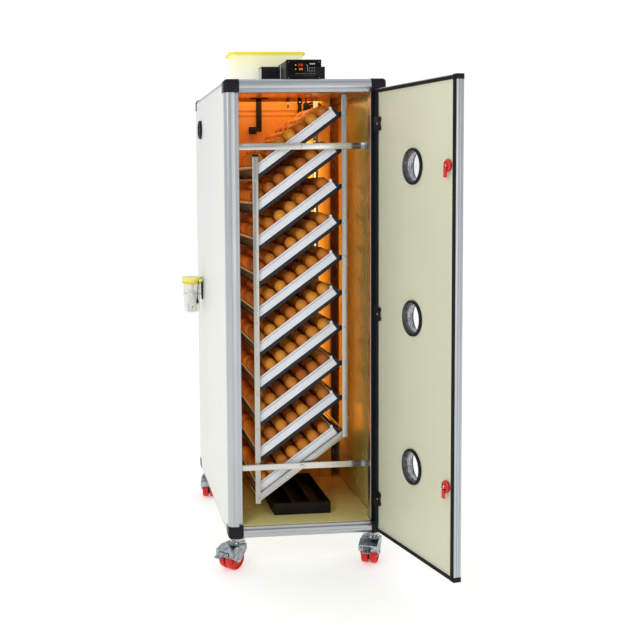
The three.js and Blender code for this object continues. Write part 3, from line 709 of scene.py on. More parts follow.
def corner_block(level, end, side, z_sign, outer, node):
    """A moulded block with rounded outer edges."""
    out = Vector((SIGNS[side] * (SIDE + PROUD), SIGNS[end] * (BACK + PROUD), outer + z_sign * PROUD))
    inward = Vector((-SIGNS[side] * (REACH + PROUD), -SIGNS[end] * (REACH + PROUD), -z_sign * (RISE + PROUD)))

    def is_outer(edge):
        middle = (edge.verts[0].co + edge.verts[1].co) / 2
        return sum(abs(a - b) < 0.1 for a, b in zip(middle, out)) == 2

    block = bevelled(box(out, out + inward, 12, 6, is_outer), 0.8)
    Piece(f"corner_{level}_{end}_{side}", "black").add(block).done("cabinet", "black_plastic", node, angle=40)


def panels():
    seat, notch = BEAD + 0.6, REACH + GAP
    y_in, y_out = BACK - notch, BACK - seat
    z0, z1, z2, z3 = BOTTOM + seat, BOTTOM + RISE + GAP, TOP - RISE - GAP, TOP - seat
    outline = [(-y_in, z0), (y_in, z0), (y_in, z1), (y_out, z1), (y_out, z2), (y_in, z2),
               (y_in, z3), (-y_in, z3), (-y_in, z2), (-y_out, z2), (-y_out, z1), (-y_in, z1)]
    for side in ("left", "right"):
        sign = SIGNS[side]
        sheet = prism(outline, "x", (sign * (SIDE - 0.2), sign * WALL), 0.4)
        made = Piece(f"side_sheet_{side}", "side").add(sheet)
        made.paint("wall", lambda face: face.normal.x * sign < -0.9)
        made.done("cabinet", "side_panel", f"{side}_panel")

    across, deep = SIDE - notch, BACK - notch
    back = Piece("back_sheet", "side").add(box((-across, BACK - 28, z1), (across, BACK - 0.2, z2), 0.4))
    back.paint("wall_back", lambda face: face.normal.y < -0.9)
    back.done("cabinet", "side_panel", "back_panel")

    roof = Piece("roof_sheet", "side").add(box((-across, -deep, CEILING), (across, deep, TOP - 0.2), 0.4))
    roof.add(box((-WALL + 0.3, -deep, CEILING - 0.5), (WALL - 0.3, deep, CEILING + 1), 0.2))
    roof.paint("ceiling", lambda face: face.normal.z < -0.9)
    roof.done("cabinet", "side_panel", "roof_panel")

    base = Piece("floor_sheet", "side")
    base.add(box((-across, -deep, BOTTOM + 0.2), (across, deep, FLOOR - 2), 0.4))
    skin = box((-WALL + 0.6, -BACK + LIP + 1, FLOOR - 1.6), (WALL - 0.6, deep, FLOOR + 0.4), 0.3)
    base.of("floor").add(skin)
    base.done("cabinet", "cream_panel", "floor_panel")


def air_guide():
    """The back wall of the tray room: a sheet with folded edges, a pressed strip and the fan's ring."""
    low, high = box_of("air_baffle")
    front, half = low[1] + 14, high[0]
    z0, z1 = low[2], high[2]
    fan = joint_place("fan_spin")
    sheet = box((-half, front, z0), (half, front + 2, z1), 0.2)
    hole = rod(43, (fan[0], front - 4, fan[2]), (fan[0], front + 6, fan[2]), 48)
    made = Piece("air_guide", "wall_back").add(less(sheet, hole))
    for sign in (-1, 1):
        made.add(box((sign * half, front, z0), (sign * (half - 2), front + 25, z1), 0.3))
    fold = [(150, front + 1), (154, front - 4), (192, front - 4), (196, front + 1)]
    made.add(prism(fold, "z", (z0 + 6, 1438), 0.4))
    for z, deep in ((1512, 4), (1494, 3)):
        made.add(box((-half + 3, front - deep, z), (88, front + 0.5, z + 4), 0.8))
    outline = [(43, 0), (47, 0), (47, 12), (45.5, 14.5), (43, 14.5)]
    made.add(turned(outline, 56, pointing((fan[0], front + 0.5, fan[2]), (fan[0], front - 20, fan[2]))))
    made.add(box((fan[0] - 6, front, fan[2] - 46), (fan[0] + 6, front + 2, fan[2] + 44), 0.4))
    made.done("cabinet", "orange_panel", "air_baffle")

    guard = Piece("fan_guard", "guard")
    y = front - 16.5
    for radius in (14, 24, 34, 44):
        hoop = [(fan[0] + radius * math.cos(a), y, fan[2] + radius * math.sin(a)) for a in around(40)]
        guard.add(tube(hoop, 1.1, 8, True))
    centre = Vector((fan[0], y + 1.4, fan[2]))
    for a in around(4, math.pi / 4):
        reach = Vector((math.cos(a), 0, math.sin(a)))
        guard.add(tube([centre + reach * 10, centre + reach * 46], 1.2, 8))
        guard.add(rod(1.6, centre + reach * 45.5 - Y * 0.5, centre + reach * 45.5 + Y * 2.6, 10, 0.2))
    guard.add(rod(11, (fan[0], y - 0.5, fan[2]), (fan[0], y + 3, fan[2]), 32, 0.8))
    guard.done("cabinet", "orange_fan_guard")


def fan_rotor():
    """A hub with five pitched, curved blades."""
    centre = joint_place("fan_spin")
    low, high = box_of("fan_rotor")
    made = Piece("fan_blades", "black", at(*centre))
    front, back = low[1] - centre[1], high[1] - centre[1]
    made.add(rod(13.5, (0, front, 0), (0, back, 0), 32, 1.2))
    for index in range(5):
        blade = bmesh.new()
        grid = []
        for u in range(7):
            radius = 11 + 28.5 * u / 6
            row = []
            for v in range(5):
                sweep = math.radians(-22 + 44 * v / 4) * (1.15 - 0.5 * u / 6)
                depth = front + 2.2 + 4.6 * (v / 4) + 0.8 * math.sin(math.pi * v / 4)
                row.append((radius * math.sin(sweep), depth, radius * math.cos(sweep)))
            grid.append(row)
        faces = [[[blade.verts.new((x, y + lift, z)) for x, y, z in row] for row in grid]
                 for lift in (-0.6, 0.6)]
        for layer in faces:
            for u in range(6):
                for v in range(4):
                    blade.faces.new((layer[u][v], layer[u + 1][v], layer[u + 1][v + 1], layer[u][v + 1]))
        rim = [(u, 0) for u in range(7)] + [(6, v) for v in range(1, 5)]
        rim += [(u, 4) for u in range(5, -1, -1)] + [(0, v) for v in range(3, 0, -1)]
        for (u0, v0), (u1, v1) in zip(rim, rim[1:] + rim[:1]):
            blade.faces.new((faces[0][u0][v0], faces[0][u1][v1], faces[1][u1][v1], faces[1][u0][v0]))
        bmesh.ops.recalc_face_normals(blade, faces=blade.faces)
        blade.transform(Matrix.Rotation(2 * math.pi * index / 5, 4, "Y"))
        made.add(blade)
    made.done("fan", "black_plastic", "fan_rotor")


def under_roof():
    """A hanging bracket, a sensor, a strap with its clamp and a cable clip, all ahead of the back wall."""
    top = CEILING - 0.6
    hanger = Piece("hanger", "soot")
    hanger.of("black").add(box((-100, 46, top - 5), (-35, 64, top), 1))
    hanger.of("soot").add(box((-79, 52, 1440), (-59, 57, top - 4), 0.8))
    hanger.add(box((-74, 50, 1450), (-64, 53, top - 6), 0.6))
    hanger.of("black").add(box((-106, 47, 1427), (-79, 62, 1453), 1.6))
    hanger.add(box((-82, 49, 1436), (-60, 60, 1446), 1))
    for x in (-92, -43):
        hanger.of("bright").add(dome(3.2, 2, (x, 55, top - 5), (x, 55, top - 9), 16))
    hanger.done("cabinet", "black_plastic")

    probe = Piece("air_probe", "steel_up")
    probe.add(rod(4.2, (38, 55, 1532), (38, 55, top), 20, 0.8))
    probe.of("brown").add(rod(6.5, (38, 55, 1541), (38, 55, top), 20, 0.8))
    probe.add(rod(3.0, (38, 55, 1520), (38, 55, 1533), 16, 0.8))
    probe.done("cabinet", "steel")

    strap = Piece("sensor_strap", "soot")
    strap.add(box((74, 53, 1498), (88, 57, top), 0.8))
    strap.of("black").add(box((72, 50, 1535), (91, 60, 1545), 1))
    strap.of("bright").add(dome(2.6, 1.6, (81, 50, 1540), (81, 46, 1540), 16))
    strap.done("cabinet", "black_plastic")

    clip = Piece("cable_clip", "black")
    outline = [(1510, 96), (1534, 94), (1541, 100), (1541, 108), (1524, 122), (1514, 122)]
    clip.add(prism(outline, "y", (50, 60), 1.2))
    clip.add(rod(2.5, (104, 55, 1538), (104, 55, top), 14, 0.5))
    clip.done("cabinet", "black_plastic")


def behind_the_wall():
    """The heater's ribbed rod on its blocks, and the gear motor."""
    low, high = box_of("heater")
    y, z = middle("heater")[1:]
    warm = Piece("heater_rod", "steel")
    warm.add(rod(5.6, (low[0] + 8, y, z), (high[0] - 8, y, z), 20))
    for step in range(27):
        x = low[0] + 24 + step * 8
        warm.add(rod(9.5, (x, y, z), (x + 1, y, z), 20, 0.2))
    for x in (low[0], high[0] - 16):
        warm.of("zinc").add(box((x, low[1], low[2]), (x + 16, high[1], high[2]), 1))
    warm.done("cabinet", "steel", "heater")

    low, high = box_of("turning_motor")
    x, _, z = middle("turning_motor")
    gear = Piece("gear_motor", "grey")
    gear.add(box(low, (high[0], low[1] + 45, high[2]), 2.5, 3))
    gear.of("black").add(rod(25.6, (x, low[1] + 44, z), (x, high[1], z), 40, 2))
    for a in around(12):
        rib = Vector((math.cos(a), 0, math.sin(a))) * 25
        gear.add(rod(1.2, Vector((x, low[1] + 52, z)) + rib, Vector((x, high[1] - 6, z)) + rib, 8, 0.3))
    for dx in (-26, 26):
        for dz in (-26, 26):
            spot = Vector((x + dx, low[1] + 45, z + dz))
            gear.of("bright").add(dome(3, 2, spot, spot + Y, 16))
    gear.done("cabinet", "grey_plastic", "turning_motor")


def trough():
    """The water tray: a moulded tub with two ribs, so three channels."""
    low, high = box_of("water_tray")
    wall = 4
    width = (high[0] - low[0] - 4 * wall) / 3
    pits = []
    for index in range(3):
        x = low[0] + wall + index * (width + wall)
        pits.append(box((x, low[1] + wall, low[2] + wall), (x + width, high[1] - wall, high[2] + 5), 1.2))
    made = Piece("water_trough", "trough").add(less(box(low, high, 1.5), *pits))
    made.done("cabinet", "black_plastic", "water_tray")


posts()
rails()
panels()
air_guide()
fan_rotor()
under_roof()
behind_the_wall()
trough()


# ---- door ----

HINGE = joint_place("door_swing")
OPEN = -joints["door_swing"]["range_deg"][0]
DOOR = at(HINGE[0], HINGE[1], 0, OPEN)
D_LOW, D_HIGH = box_of("door_frame")[0][2], box_of("door_frame")[1][2]
D_FREE, D_EDGE, D_FACE = -474, -6, 12
D_MIDDLE = (D_FREE + D_EDGE) / 2
LATCH_X = D_FREE + 38


PORTHOLES = {place: middle(f"porthole_{place}")[2] for place in ("upper", "middle", "lower")}
HINGES = {place: middle(f"hinge_{place}")[2] for place in ("upper", "middle", "lower")}
LATCHES = {place: joint_place(f"latch_{place}_turn")[2] for place in ("upper", "lower")}


def door_edge_and_seal():
    half = D_FACE
    outline = [(18, half), (2.2, half), (0.6, half - 0.6), (0, half - 2.2), (0, 4.6), (1.1, 4.1), (1.1, 3.2),
               (0, 2.7), (0, -3.4), (1.1, -3.9), (1.1, -4.8), (0, -5.3), (0, -half + 2.2), (0.6, -half + 0.6),
               (2.2, -half), (18, -half)]
    edge = Piece("door_edge", "post", DOOR)
    edge.add(ring((D_FREE, D_LOW), (D_EDGE, D_HIGH), outline))
    edge.add(box((-28, 10.6, D_LOW + 18), (-23.6, 11.9, D_HIGH - 18), 0.4))
    edge.done("door", "aluminium", "door_frame")

    seal = [(3.2, 12.2), (2.9, 13.6), (3.5, 15.8), (5.2, 16.9), (7.2, 16.5), (8.2, 15.6), (9.2, 16.5),
            (11.0, 16.9), (12.6, 15.8), (13.2, 13.6), (13, 12.2)]
    Piece("door_seal", "rubber", DOOR).add(ring((D_FREE, D_LOW), (D_EDGE, D_HIGH), seal)).done(
        "door", "black_rubber", "door_gasket", angle=60)

    caps = Piece("door_corners", "black", DOOR)
    for x, inward in ((D_FREE, 1), (D_EDGE, -1)):
        for z, down in ((D_HIGH, -1), (D_LOW, 1)):
            corner = (x - inward * 0.5, -half - 0.5, z - down * 0.5)
            caps.add(box(corner, (x + inward * 21, half + 0.4, z + down * 15), 1.6, 3))
    caps.done("door", "black_plastic", "door_frame")


def door_sheet():
    inset = 18.3
    sheet = box((D_FREE + inset, -11, D_LOW + inset), (D_EDGE - inset, 11, D_HIGH - inset), 0.3)
    tools = [rod(48, (D_MIDDLE, -14, z), (D_MIDDLE, 14, z), 64, 0) for z in PORTHOLES.values()]
    tools += [rod(5.4, (LATCH_X, -14, z), (LATCH_X, 14, z), 24, 0) for z in LATCHES.values()]
    made = Piece("door_sheet", "cream", DOOR).add(less(sheet, *tools))
    for z0, z1 in ((D_LOW + 13.4, D_LOW + 18.8), (D_HIGH - 18.8, D_HIGH - 13.4)):
        made.add(box((D_FREE + inset, 10.6, z0), (D_EDGE - inset, 12.2, z1), 0.2))
    made.paint("side", lambda face: face.normal.y < -0.9)
    made.done("door", "cream_panel", "door_panel")


def door_hinges():
    """Moulded leaves on the door, and plates, knuckles and pins on the post."""
    for place, z in HINGES.items():
        leaf = Piece(f"hinge_leaf_{place}", "black", DOOR)
        half = [(-22, -5), (-22, -36), (-19, -42), (-12, -43), (-7, -40), (-3, -38)]
        outline = [(z + dz, x) for dz, x in half] + [(z - dz, x) for dz, x in reversed(half)]
        leaf.add(prism(outline, "y", (11.2, 17.4), 1.4, 3))
        leaf.add(box((-9, -4, z - 22.5), (-4, 17.2, z + 22.5), 0.6))
        leaf.add(rod(5, (0, 0, z - 7.3), (0, 0, z + 7.3), 28, 0.6))
        leaf.add(box((-8, -3, z - 7.3), (0, 3, z + 7.3), 0.5))
        for offset in (-13, 13):
            leaf.add(rod(4.2, (-34, 17, z + offset), (-34, 17.6, z + offset), 24, 0.2))
        leaf.of("bright").add(dome(3.4, 1.4, (-25.5, 17.2, z), (-25.5, 20, z), 20))
        leaf.add(box((-28.2, 18.0, z - 0.4), (-22.8, 18.75, z + 0.4), 0))
        leaf.done("door", "black_plastic", "door_frame")

        post = Piece(f"hinge_post_{place}", "black", at(HINGE[0], HINGE[1], 0))
        post.add(box((7, 14.6, z - 23), (30, 17.7, z + 23), 0.9))
        for sign in (-1, 1):
            z0, z1 = z + sign * 7.9, z + sign * 23
            post.add(rod(5, (0, 0, min(z0, z1)), (0, 0, max(z0, z1)), 28, 0.6))
            post.add(box((1, 0.5, z0), (9, 17.5, z1), 0.5))
            post.of("bright").add(dome(3, 1.3, (21, 14.6, z + sign * 14), (21, 10, z + sign * 14), 20))
            post.of("black")
        post.of("bright").add(rod(2, (0, 0, z - 22.9), (0, 0, z + 22.9), 16, 0.3))
        post.done("cabinet", "black_plastic", f"hinge_{place}")


BORE = 44.9


def off_axis(face):
    return face.calc_center_median().xy.length


def portholes():
    for place, z in PORTHOLES.items():
        frame_at = DOOR @ at(D_MIDDLE, 0, z, -90, "X")
        made = Piece(f"porthole_ring_{place}", "black", frame_at)
        flange = [(48, 18), (48.4, 19.3), (51, 19.3), (53, 18.4), (54, 16.4), (54, 11.3), (47.4, 11.3)]
        tunnel = [(42.4, 0), (42.6, 1.5), (44, 1.6), (44.8, 12.5)]
        made.add(turned(mirrored(tunnel + flange), 72))
        made.paint("bevel", lambda face: BORE < off_axis(face) < 48.3
                   and face.normal.z * face.calc_center_median().z > 0)
        made.paint("tunnel", lambda face: off_axis(face) < BORE)
        for sign in (-1, 1):
            seat = [(44.1, 3.4), (42.4, 3.4), (42.0, 2.6), (42.4, 1.6), (44.1, 1.6)]
            made.of("bright").add(turned([(r, sign * h) for r, h in seat], 72))
        made.done("door", "black_plastic", f"porthole_{place}", angle=50)
        pane = [(0, -1.4), (42.2, -1.4), (42.6, -1.0), (42.6, 1.0), (42.2, 1.4), (0, 1.4)]
        Piece(f"porthole_pane_{place}", "pane", frame_at).add(turned(pane, 72)).done("door", "dark_glass")


def latches():
    """A knob with a catch finger inside, and a lever outside."""
    for place, z in LATCHES.items():
        made = Piece(f"latch_knob_{place}", "red", DOOR @ at(LATCH_X, 0, z))
        made.add(rod(5, (0, -12, 0), (0, 12, 0), 24, 0.2))
        inner = pointing((0, 11.3, 0), (0, 30, 0))
        disc = [(0, 0), (16.6, 0), (17, 0.6), (17, 6.6), (15.6, 8.6), (12.6, 9.2), (11.8, 7.4), (8.2, 7.0),
                (7.6, 9.6), (5.6, 10.6), (0, 10.6)]
        made.add(turned(disc, 48, inner))
        for a in around(16):
            spot = Vector((16.6 * math.cos(a), 0, 16.6 * math.sin(a)))
            made.add(rod(1.1, spot + Y * 12, spot + Y * 17.2, 8, 0.3))
        arm = [(-33.5, -4.6), (-31.5, -5.5), (-20, -5.5), (-8, -5)]
        made.add(prism(mirrored(arm), "y", (20.2, 26.6), 1.3, 3))
        made.add(box((-5.5, 18.6, -20), (5.5, 26.4, -8), 1.0))
        made.of("bright").add(rod(3.4, (0, 20, 0), (0, 29.6, 0), 20, 0.6))
        made.add(rod(5.2, (0, 21.4, 0), (0, 24.6, 0), 6, 0.4))
        outer = pointing((0, -11.3, 0), (0, -30, 0))
        made.of("red").add(turned([(0, 0), (15, 0), (15, 6.4), (13.6, 7.8), (0, 7.8)], 48, outer))
        lever = [(-50, 0), (-49.5, -3.4), (-46, -5.4), (-20, -6.6), (9, -7), (10, 0)]
        made.add(prism(mirrored(lever), "y", (-30.4, -18.4), 2.0, 3))
        made.of("bright").add(dome(4, 1.4, (0, -30.2, 0), (0, -34, 0), 20))
        made.done(f"latch_{place}", "red_plastic", f"latch_{place}")


door_edge_and_seal()
door_sheet()
door_hinges()
portholes()
latches()


# ---- rack, trays and eggs ----

TRAYS = [f"{index:02d}" for index in range(1, 11)]
TILT = joints["tilt"]["range_deg"][1] / 2
RACK_X = joint_place("tilt")[0]
TOP_PIVOT, LAST_PIVOT = joint_place("tray_01_tilt")[2], joint_place("tilt")[2]
PITCH = (TOP_PIVOT - LAST_PIVOT) / 9
T_FRONT, T_BACK = box_of("egg_tray_01")[0][1], box_of("egg_tray_01")[1][1]
T_HALF, T_LOW, T_HIGH = 157, 8, 36.5
PIN_AT = 180


def tray_axes(index):
    return at(RACK_X, 0, TOP_PIVOT - index * PITCH, -TILT, "Y")


def ribbed(low, high, face, behind, pitch=4.4, depth=1.3):
    """An outline in (x, y): a wall whose face carries fine upright ribs."""
    outline = [(low, behind), (low, face)]
    count = int((high - low) / pitch)
    start = (low + high - count * pitch) / 2
    for index in range(count):
        x = start + index * pitch
        outline += [(x + 1.0, face), (x + 1.3, face + depth), (x + 3.1, face + depth), (x + 3.4, face)]
    return outline + [(high, face), (high, behind)]


HOOK = ((-2, -5), (4.6, -6), (6.0, -4.6), (4.4, -1.6), (5.4, 2.4), (3.0, 3.2), (-2, 0.6))


def egg_tray(index, body):
    """A white moulded tray: ribbed walls, corner hooks and a low lattice between the eggs."""
    number = TRAYS[index]
    made = Piece(f"tray_shell_{number}", "white", tray_axes(index))
    front, back, half = T_FRONT, T_BACK, T_HALF
    made.add(box((-half, front + 0.8, T_LOW), (half, back - 0.8, T_LOW + 2.4), 0.4))
    made.add(prism(ribbed(-half, half, front, front + 3.4), "z", (T_LOW - 0.2, 29.4)))
    made.add(prism(ribbed(-half, half, front, front + 3.4), "z", (31.2, T_HIGH - 1.2)))
    made.add(box((-half, front + 1.6, 29), (half, front + 3.4, 32), 0))
    made.of("dim").add(box((-half + 1, front + 0.5, 29.9), (half - 1, front + 1.8, 30.7), 0))
    made.of("white")
    made.add(box((-half - 0.3, front - 0.3, T_HIGH - 1.6), (half + 0.3, front + 3.8, T_HIGH), 0.5))
    made.add(box((-half, back - 3.4, T_LOW), (half, back, T_HIGH), 0.5))
    for sign in (-1, 1):
        made.add(box((sign * half, front + 1, T_LOW), (sign * (half - 3), back - 1, T_HIGH), 0.5))
        for step in range(23):
            y = front + 10 + step * 17.6
            made.add(box((sign * (half - 0.5), y, T_LOW + 2), (sign * (half + 1), y + 2.2, T_HIGH - 2), 0))
        hook = [(T_HIGH + up, sign * (half + out)) for up, out in HOOK]
        for y in (front + 0.2, back - 4.2):
            made.add(prism(hook, "y", (y, y + 4), 0.5))
    for step in range(6):
        x = (step - 2.5) * 43.8
        made.add(box((x - 0.8, front + 2, T_LOW + 2), (x + 0.8, back - 2, T_LOW + 12), 0))
    for step in range(8):
        y = front + 46 + step * 44.5
        made.add(box((-half + 2, y - 0.8, T_LOW + 2), (half - 2, y + 0.8, T_LOW + 12), 0))
    made.done(body, "white_tray", f"egg_tray_{number}")


BRACKET = ((-3.8, 158.4), (-3.8, 185), (-2, 187), (4.6, 187), (6.4, 185), (8, 176), (13, 168), (30, 164.8),
           (30, 160.6), (8, 158.4))


def carrier(index, body):
    """The black carrier under a tray: two beams with upturned ends, joined by end plates."""
    number = TRAYS[index]
    made = Piece(f"tray_carrier_{number}", "beam", tray_axes(index))
    for y0, y1 in ((T_FRONT - 0.2, T_FRONT + 7.6), (T_BACK - 7.6, T_BACK)):
        made.add(box((-187, y0, -4), (187, y1, T_LOW - 0.4), 1.2, 2))
        for sign in (-1, 1):
            bracket = [(z, sign * out) for z, out in BRACKET]
            made.add(prism(bracket, "y", (y0 + 0.3, y1 - 0.3), 0.8, 2))
            made.add(rod(5.4, (sign * PIN_AT, y0 - 0.1, 0), (sign * PIN_AT, y1 + 0.1, 0), 20, 0.5))
    for sign in (-1, 1):
        for x0, x1, z0, z1 in ((161, 170.6, -4, -1.2), (164.4, 166.2, -4, 30), (160.6, 166.2, 27.4, 30)):
            made.add(box((sign * x0, T_FRONT + 4, z0), (sign * x1, T_BACK - 4, z1), 0.6))
    made.done(body, "black_plastic")


def egg_outline(length, width):
    """Half the section of an egg, blunt end up, from the bottom to the top."""
    points = []
    for step in range(13):
        t = math.pi * step / 12
        height = -math.cos(t)
        points.append((width / 2 * math.sin(t) * (1 + 0.12 * height), length / 2 * height))
    return points


def eggs(index, body):
    """Seven rows of nine eggs, each with its own size, lean and colour; the rows behind the front are darker
    as painted shade.
    """
    number = TRAYS[index]
    draw = random.Random(40 + index)
    made = Piece(f"eggs_{number}", "shell", tray_axes(index))
    for across in range(7):
        for deep in range(9):
            length, width = draw.uniform(55.0, 59.0), draw.uniform(41.6, 43.2)
            lean = Matrix.Rotation(draw.uniform(-0.10, 0.10), 4, "X")
            lean @= Matrix.Rotation(draw.uniform(-0.10, 0.10), 4, "Y")
            spin = Matrix.Rotation(draw.uniform(0, 6.28), 4, "Z")
            x = (across - 3) * 43.8 + draw.uniform(-0.5, 0.5)
            y = T_FRONT + 24.5 + deep * 44.5
            place = Matrix.Translation((x, y, T_LOW + 3.4 + length / 2 - 4)) @ lean @ spin
            # Painted shade: eggs behind the front row get a darker mean colour, for the shade they sit in.
            tone_and_shade = min(1.0, max(0.0, draw.gauss(0.62 if deep == 0 else 0.45, 0.2)))
            made.add(turned(egg_outline(length, width), 20, place), tone_and_shade=tone_and_shade)
    made.done(body, "egg_shell", angle=80)


def crossbars():
    reach = WALL - GAP
    y0 = box_of("lower_crossbar")[0][1]
    for place, z in (("upper", TOP_PIVOT), ("lower", LAST_PIVOT)):
        made = Piece(f"bar_{place}", "bar")
        bar = box((-reach, y0, z - 10), (reach, y0 + 5, z + 10), 0.7)
        if place == "lower":
            made.add(less(bar, rod(6.3, (RACK_X, y0 - 3, z), (RACK_X, y0 + 8, z), 24, 0)))
        else:
            made.add(bar)
            made.of("bright").add(rod(6, (RACK_X, y0 + 4, z), (RACK_X, T_BACK + 40, z), 20))
            made.add(dome(5.6, 3, (RACK_X, y0 - 0.2, z), (RACK_X, y0 - 5, z), 24))
        for sign in (-1, 1):
            plate = box((sign * reach, y0 + 4, z - 10), (sign * (reach - 2.5), y0 + 20, z + 10), 0.5)
            made.of("steel").add(plate)
            head = Vector((sign * (reach - 2.4), y0 + 13, z))
            made.of("bright").add(dome(2.6, 1.6, head, head - X * sign, 14))
        made.done("cabinet", "steel", f"{place}_crossbar")


def links():
    """Upright bars before and behind the trays, with a pin at every tray."""
    for side, sign in (("left", -1), ("right", 1)):
        node = f"{side}_link"
        low, high = box_of(node)
        x = RACK_X + sign * PIN_AT * math.cos(math.radians(TILT))
        last = LAST_PIVOT + sign * PIN_AT * math.sin(math.radians(TILT))
        front, back = low[1], high[1]
        made = Piece(f"link_bars_{side}", "steel_up")
        for y0, y1 in ((front, front + 4), (back - 4, back)):
            made.add(box((x - 9, y0, low[2]), (x + 9, y1, high[2]), 0.8))
        for index in range(10):
            z = last + index * PITCH
            made.of("bright")
            if index in (0, 9):
                made.add(rod(4, (x, front + 1, z), (x, back - 1, z), 16))
            else:
                made.add(rod(4, (x, front + 1, z), (x, T_FRONT + 7.8, z), 16))
                made.add(rod(4, (x, T_BACK - 7.8, z), (x, back - 1, z), 16))
            made.of("steel").add(dome(4.4, 1.7, (x, front + 0.1, z), (x, front - 4, z), 20))
            made.add(dome(4.4, 1.7, (x, back - 0.1, z), (x, back + 4, z), 20))
            made.of("zinc").add(rod(6.6, (x, front + 4.1, z), (x, front + 5, z), 20, 0.2))
        made.done(node, "steel", node)
        if side == "left":
            cap = Piece("link_cap", "black")
            cap.add(box((x - 10.2, front - 1.0, high[2] - 8), (x + 10.2, front + 5.2, high[2] + 0.9), 0.8))
            cap.done(node, "black_plastic")


def driven_arm():
    low, high = box_of("tilt_arm")
    front = T_FRONT - 8
    made = Piece("driven_arm", "steel", tray_axes(9))
    outline = [(-14, -186), (6.2, -186), (8, -184), (8, 184), (6.2, 186), (-14, 186)]
    made.add(prism(outline, "y", (front, front + 5), 0.7))
    made.add(box((-186, front - 1.2, 5.4), (186, front + 5, 8), 0.6))
    made.of("bright").add(rod(6, (0, low[1], 0), (0, high[1], 0), 24))
    made.add(dome(5.8, 2.4, (0, low[1] + 0.2, 0), (0, low[1] - 5, 0), 24))
    for x in (-60, 60):
        made.add(dome(4.2, 2.0, (x, front + 0.1, -4), (x, front - 4, -4), 20))
        made.add(dome(2.6, 1.2, (x - 14, front + 0.1, -4), (x - 14, front - 4, -4), 14))
    made.done("tray_10", "steel", "tilt_arm")


for tray_index, tray_number in enumerate(TRAYS):
    tray_body = f"tray_{tray_number}"
    egg_tray(tray_index, tray_body)
    carrier(tray_index, tray_body)
    eggs(tray_index, tray_body)
crossbars()
links()
driven_arm()


# ---- on the roof ----

SEGMENTS = {"0": "abcdef", "3": "abgcd", "6": "afgedc", "7": "abc", "8": "abcdefg"}


def reading(made, text, x, z, face, size):
    """A number in seven-segment figures on a panel, x and z at its lower left."""
    wide, high, thick = size * 0.55, size, size * 0.10
    bars = {
        "a": (0, high - thick, wide, high), "g": (0, (high - thick) / 2, wide, (high + thick) / 2),
        "d": (0, 0, wide, thick), "f": (0, high / 2, thick, high), "e": (0, 0, thick, high / 2),
        "b": (wide - thick, high / 2, wide, high), "c": (wide - thick, 0, wide, high / 2),
        "point": (-size * 0.2, 0, -size * 0.05, size * 0.14),
    }
    for figure in text:
        for name in SEGMENTS.get(figure, ["point"]):
            x0, z0, x1, z1 = bars[name]
            made.add(box((x + x0, face - 0.35, z + z0), (x + x1, face + 0.3, z + z1), 0.08, 1))
        if figure != ".":
            x += size * 0.82


def controller():
    low, high = box_of("controller_box")
    face = low[1]
    made = Piece("controller_case", "black")
    made.add(box((low[0] + 2, face + 3, low[2]), (high[0] - 2, high[1], high[2] - 2), 1.6, 3))
    stripe = (low[0] + 1.3, high[1] - 52, low[2] + 1), (low[0] + 2.4, high[1] - 47, high[2] - 6)
    made.of("mark").add(box(*stripe, 0.3))
    made.of("black").add(box((low[0], face + 1.6, low[2]), (high[0], face + 5, high[2]), 1.2, 3))
    bezel = [(0.6, 2), (0.6, 0.6), (1.4, 0), (3.0, 0), (3.6, 0.8), (3.6, 2)]
    made.add(ring((low[0], low[2]), (high[0], high[2]), [(inset, face + y) for inset, y in bezel]))
    glass = (low[0] + 3.2, face + 0.7, low[2] + 3.2), (high[0] - 3.2, face + 2.4, high[2] - 3.2)
    made.of("panel_gloss").add(box(*glass, 0.2))
    for step in range(7):
        z = low[2] + 14 + step * 6
        made.of("black").add(box((low[0] + 1.4, high[1] - 70, z), (low[0] + 2.4, high[1] - 20, z + 2.2), 0.3))
    for x in (low[0] + 8, high[0] - 8):
        for z in (low[2] + 8, high[2] - 8):
            made.of("dim").add(dome(1.8, 0.9, (x, face + 0.9, z), (x, face - 3, z), 16))
    made.done("cabinet", "black_plastic", "controller_box")

    pane = face + 0.7
    left, base = low[0] + 30, low[2]
    red = Piece("display_upper", "digits_red")
    reading(red, "37.8", left + 9, base + 45, pane, 6.8)
    red.done("cabinet", "display_red")
    orange = Piece("display_lower", "digits_orange")
    reading(orange, "60.0", left + 12, base + 33, pane, 5.4)
    for z in (base + 48.5, base + 35):
        orange.add(dome(1.7, 0.8, (left + 1, pane + 0.2, z), (left + 1, pane - 3, z), 16))
    orange.done("cabinet", "display_orange")

    def printed(x0, x1, z0, z1, edge=0.05, proud=0.2):
        return box((left + x0, pane - proud, base + z0), (left + x1, pane + 0.2, base + z1), edge, 1)

    marks = Piece("display_marks", "mark")
    marks.add(printed(39, 39.7, 29, 48), printed(35, 39.7, 48, 48.7))
    marks.add(*[printed(x0, x1, 50.5, 54, 0.3) for x0, x1 in ((47, 52), (53.5, 57), (58.5, 63.5))])
    for column in range(3):
        for row in range(2):
            x, z = left + 46 + column * 8, base + 30 + row * 9
            marks.of("dim").add(rod(2.3, (x, pane - 0.4, z), (x, pane + 0.3, z), 20, 0.2))
    for x0, x1 in ((0, 9), (11, 15), (17, 26), (28, 35), (40, 44), (46, 55), (57, 66)):
        marks.add(printed(x0, x1, 20.5, 22, proud=0.15))
    marks.done("cabinet", "label_white")


def power_box():
    low, high = box_of("power_box")
    power = Piece("power_case", "black").add(box(low, high, 1.8, 3))
    power.paint("light_grey", lambda part: part.normal.x < -0.9)
    rim = (low[0] - 0.3, low[1] - 0.3, high[2] - 4), (high[0] + 0.3, high[1] + 0.3, high[2])
    power.of("black").add(box(*rim, 1.2, 3))
    for step in range(9):
        z = low[2] + 12 + step * 4.5
        power.add(box((low[0] + 6, low[1] - 0.5, z), (low[0] + 44, low[1] + 0.5, z + 1.8), 0.3))
    power.done("cabinet", "black_plastic", "power_box")


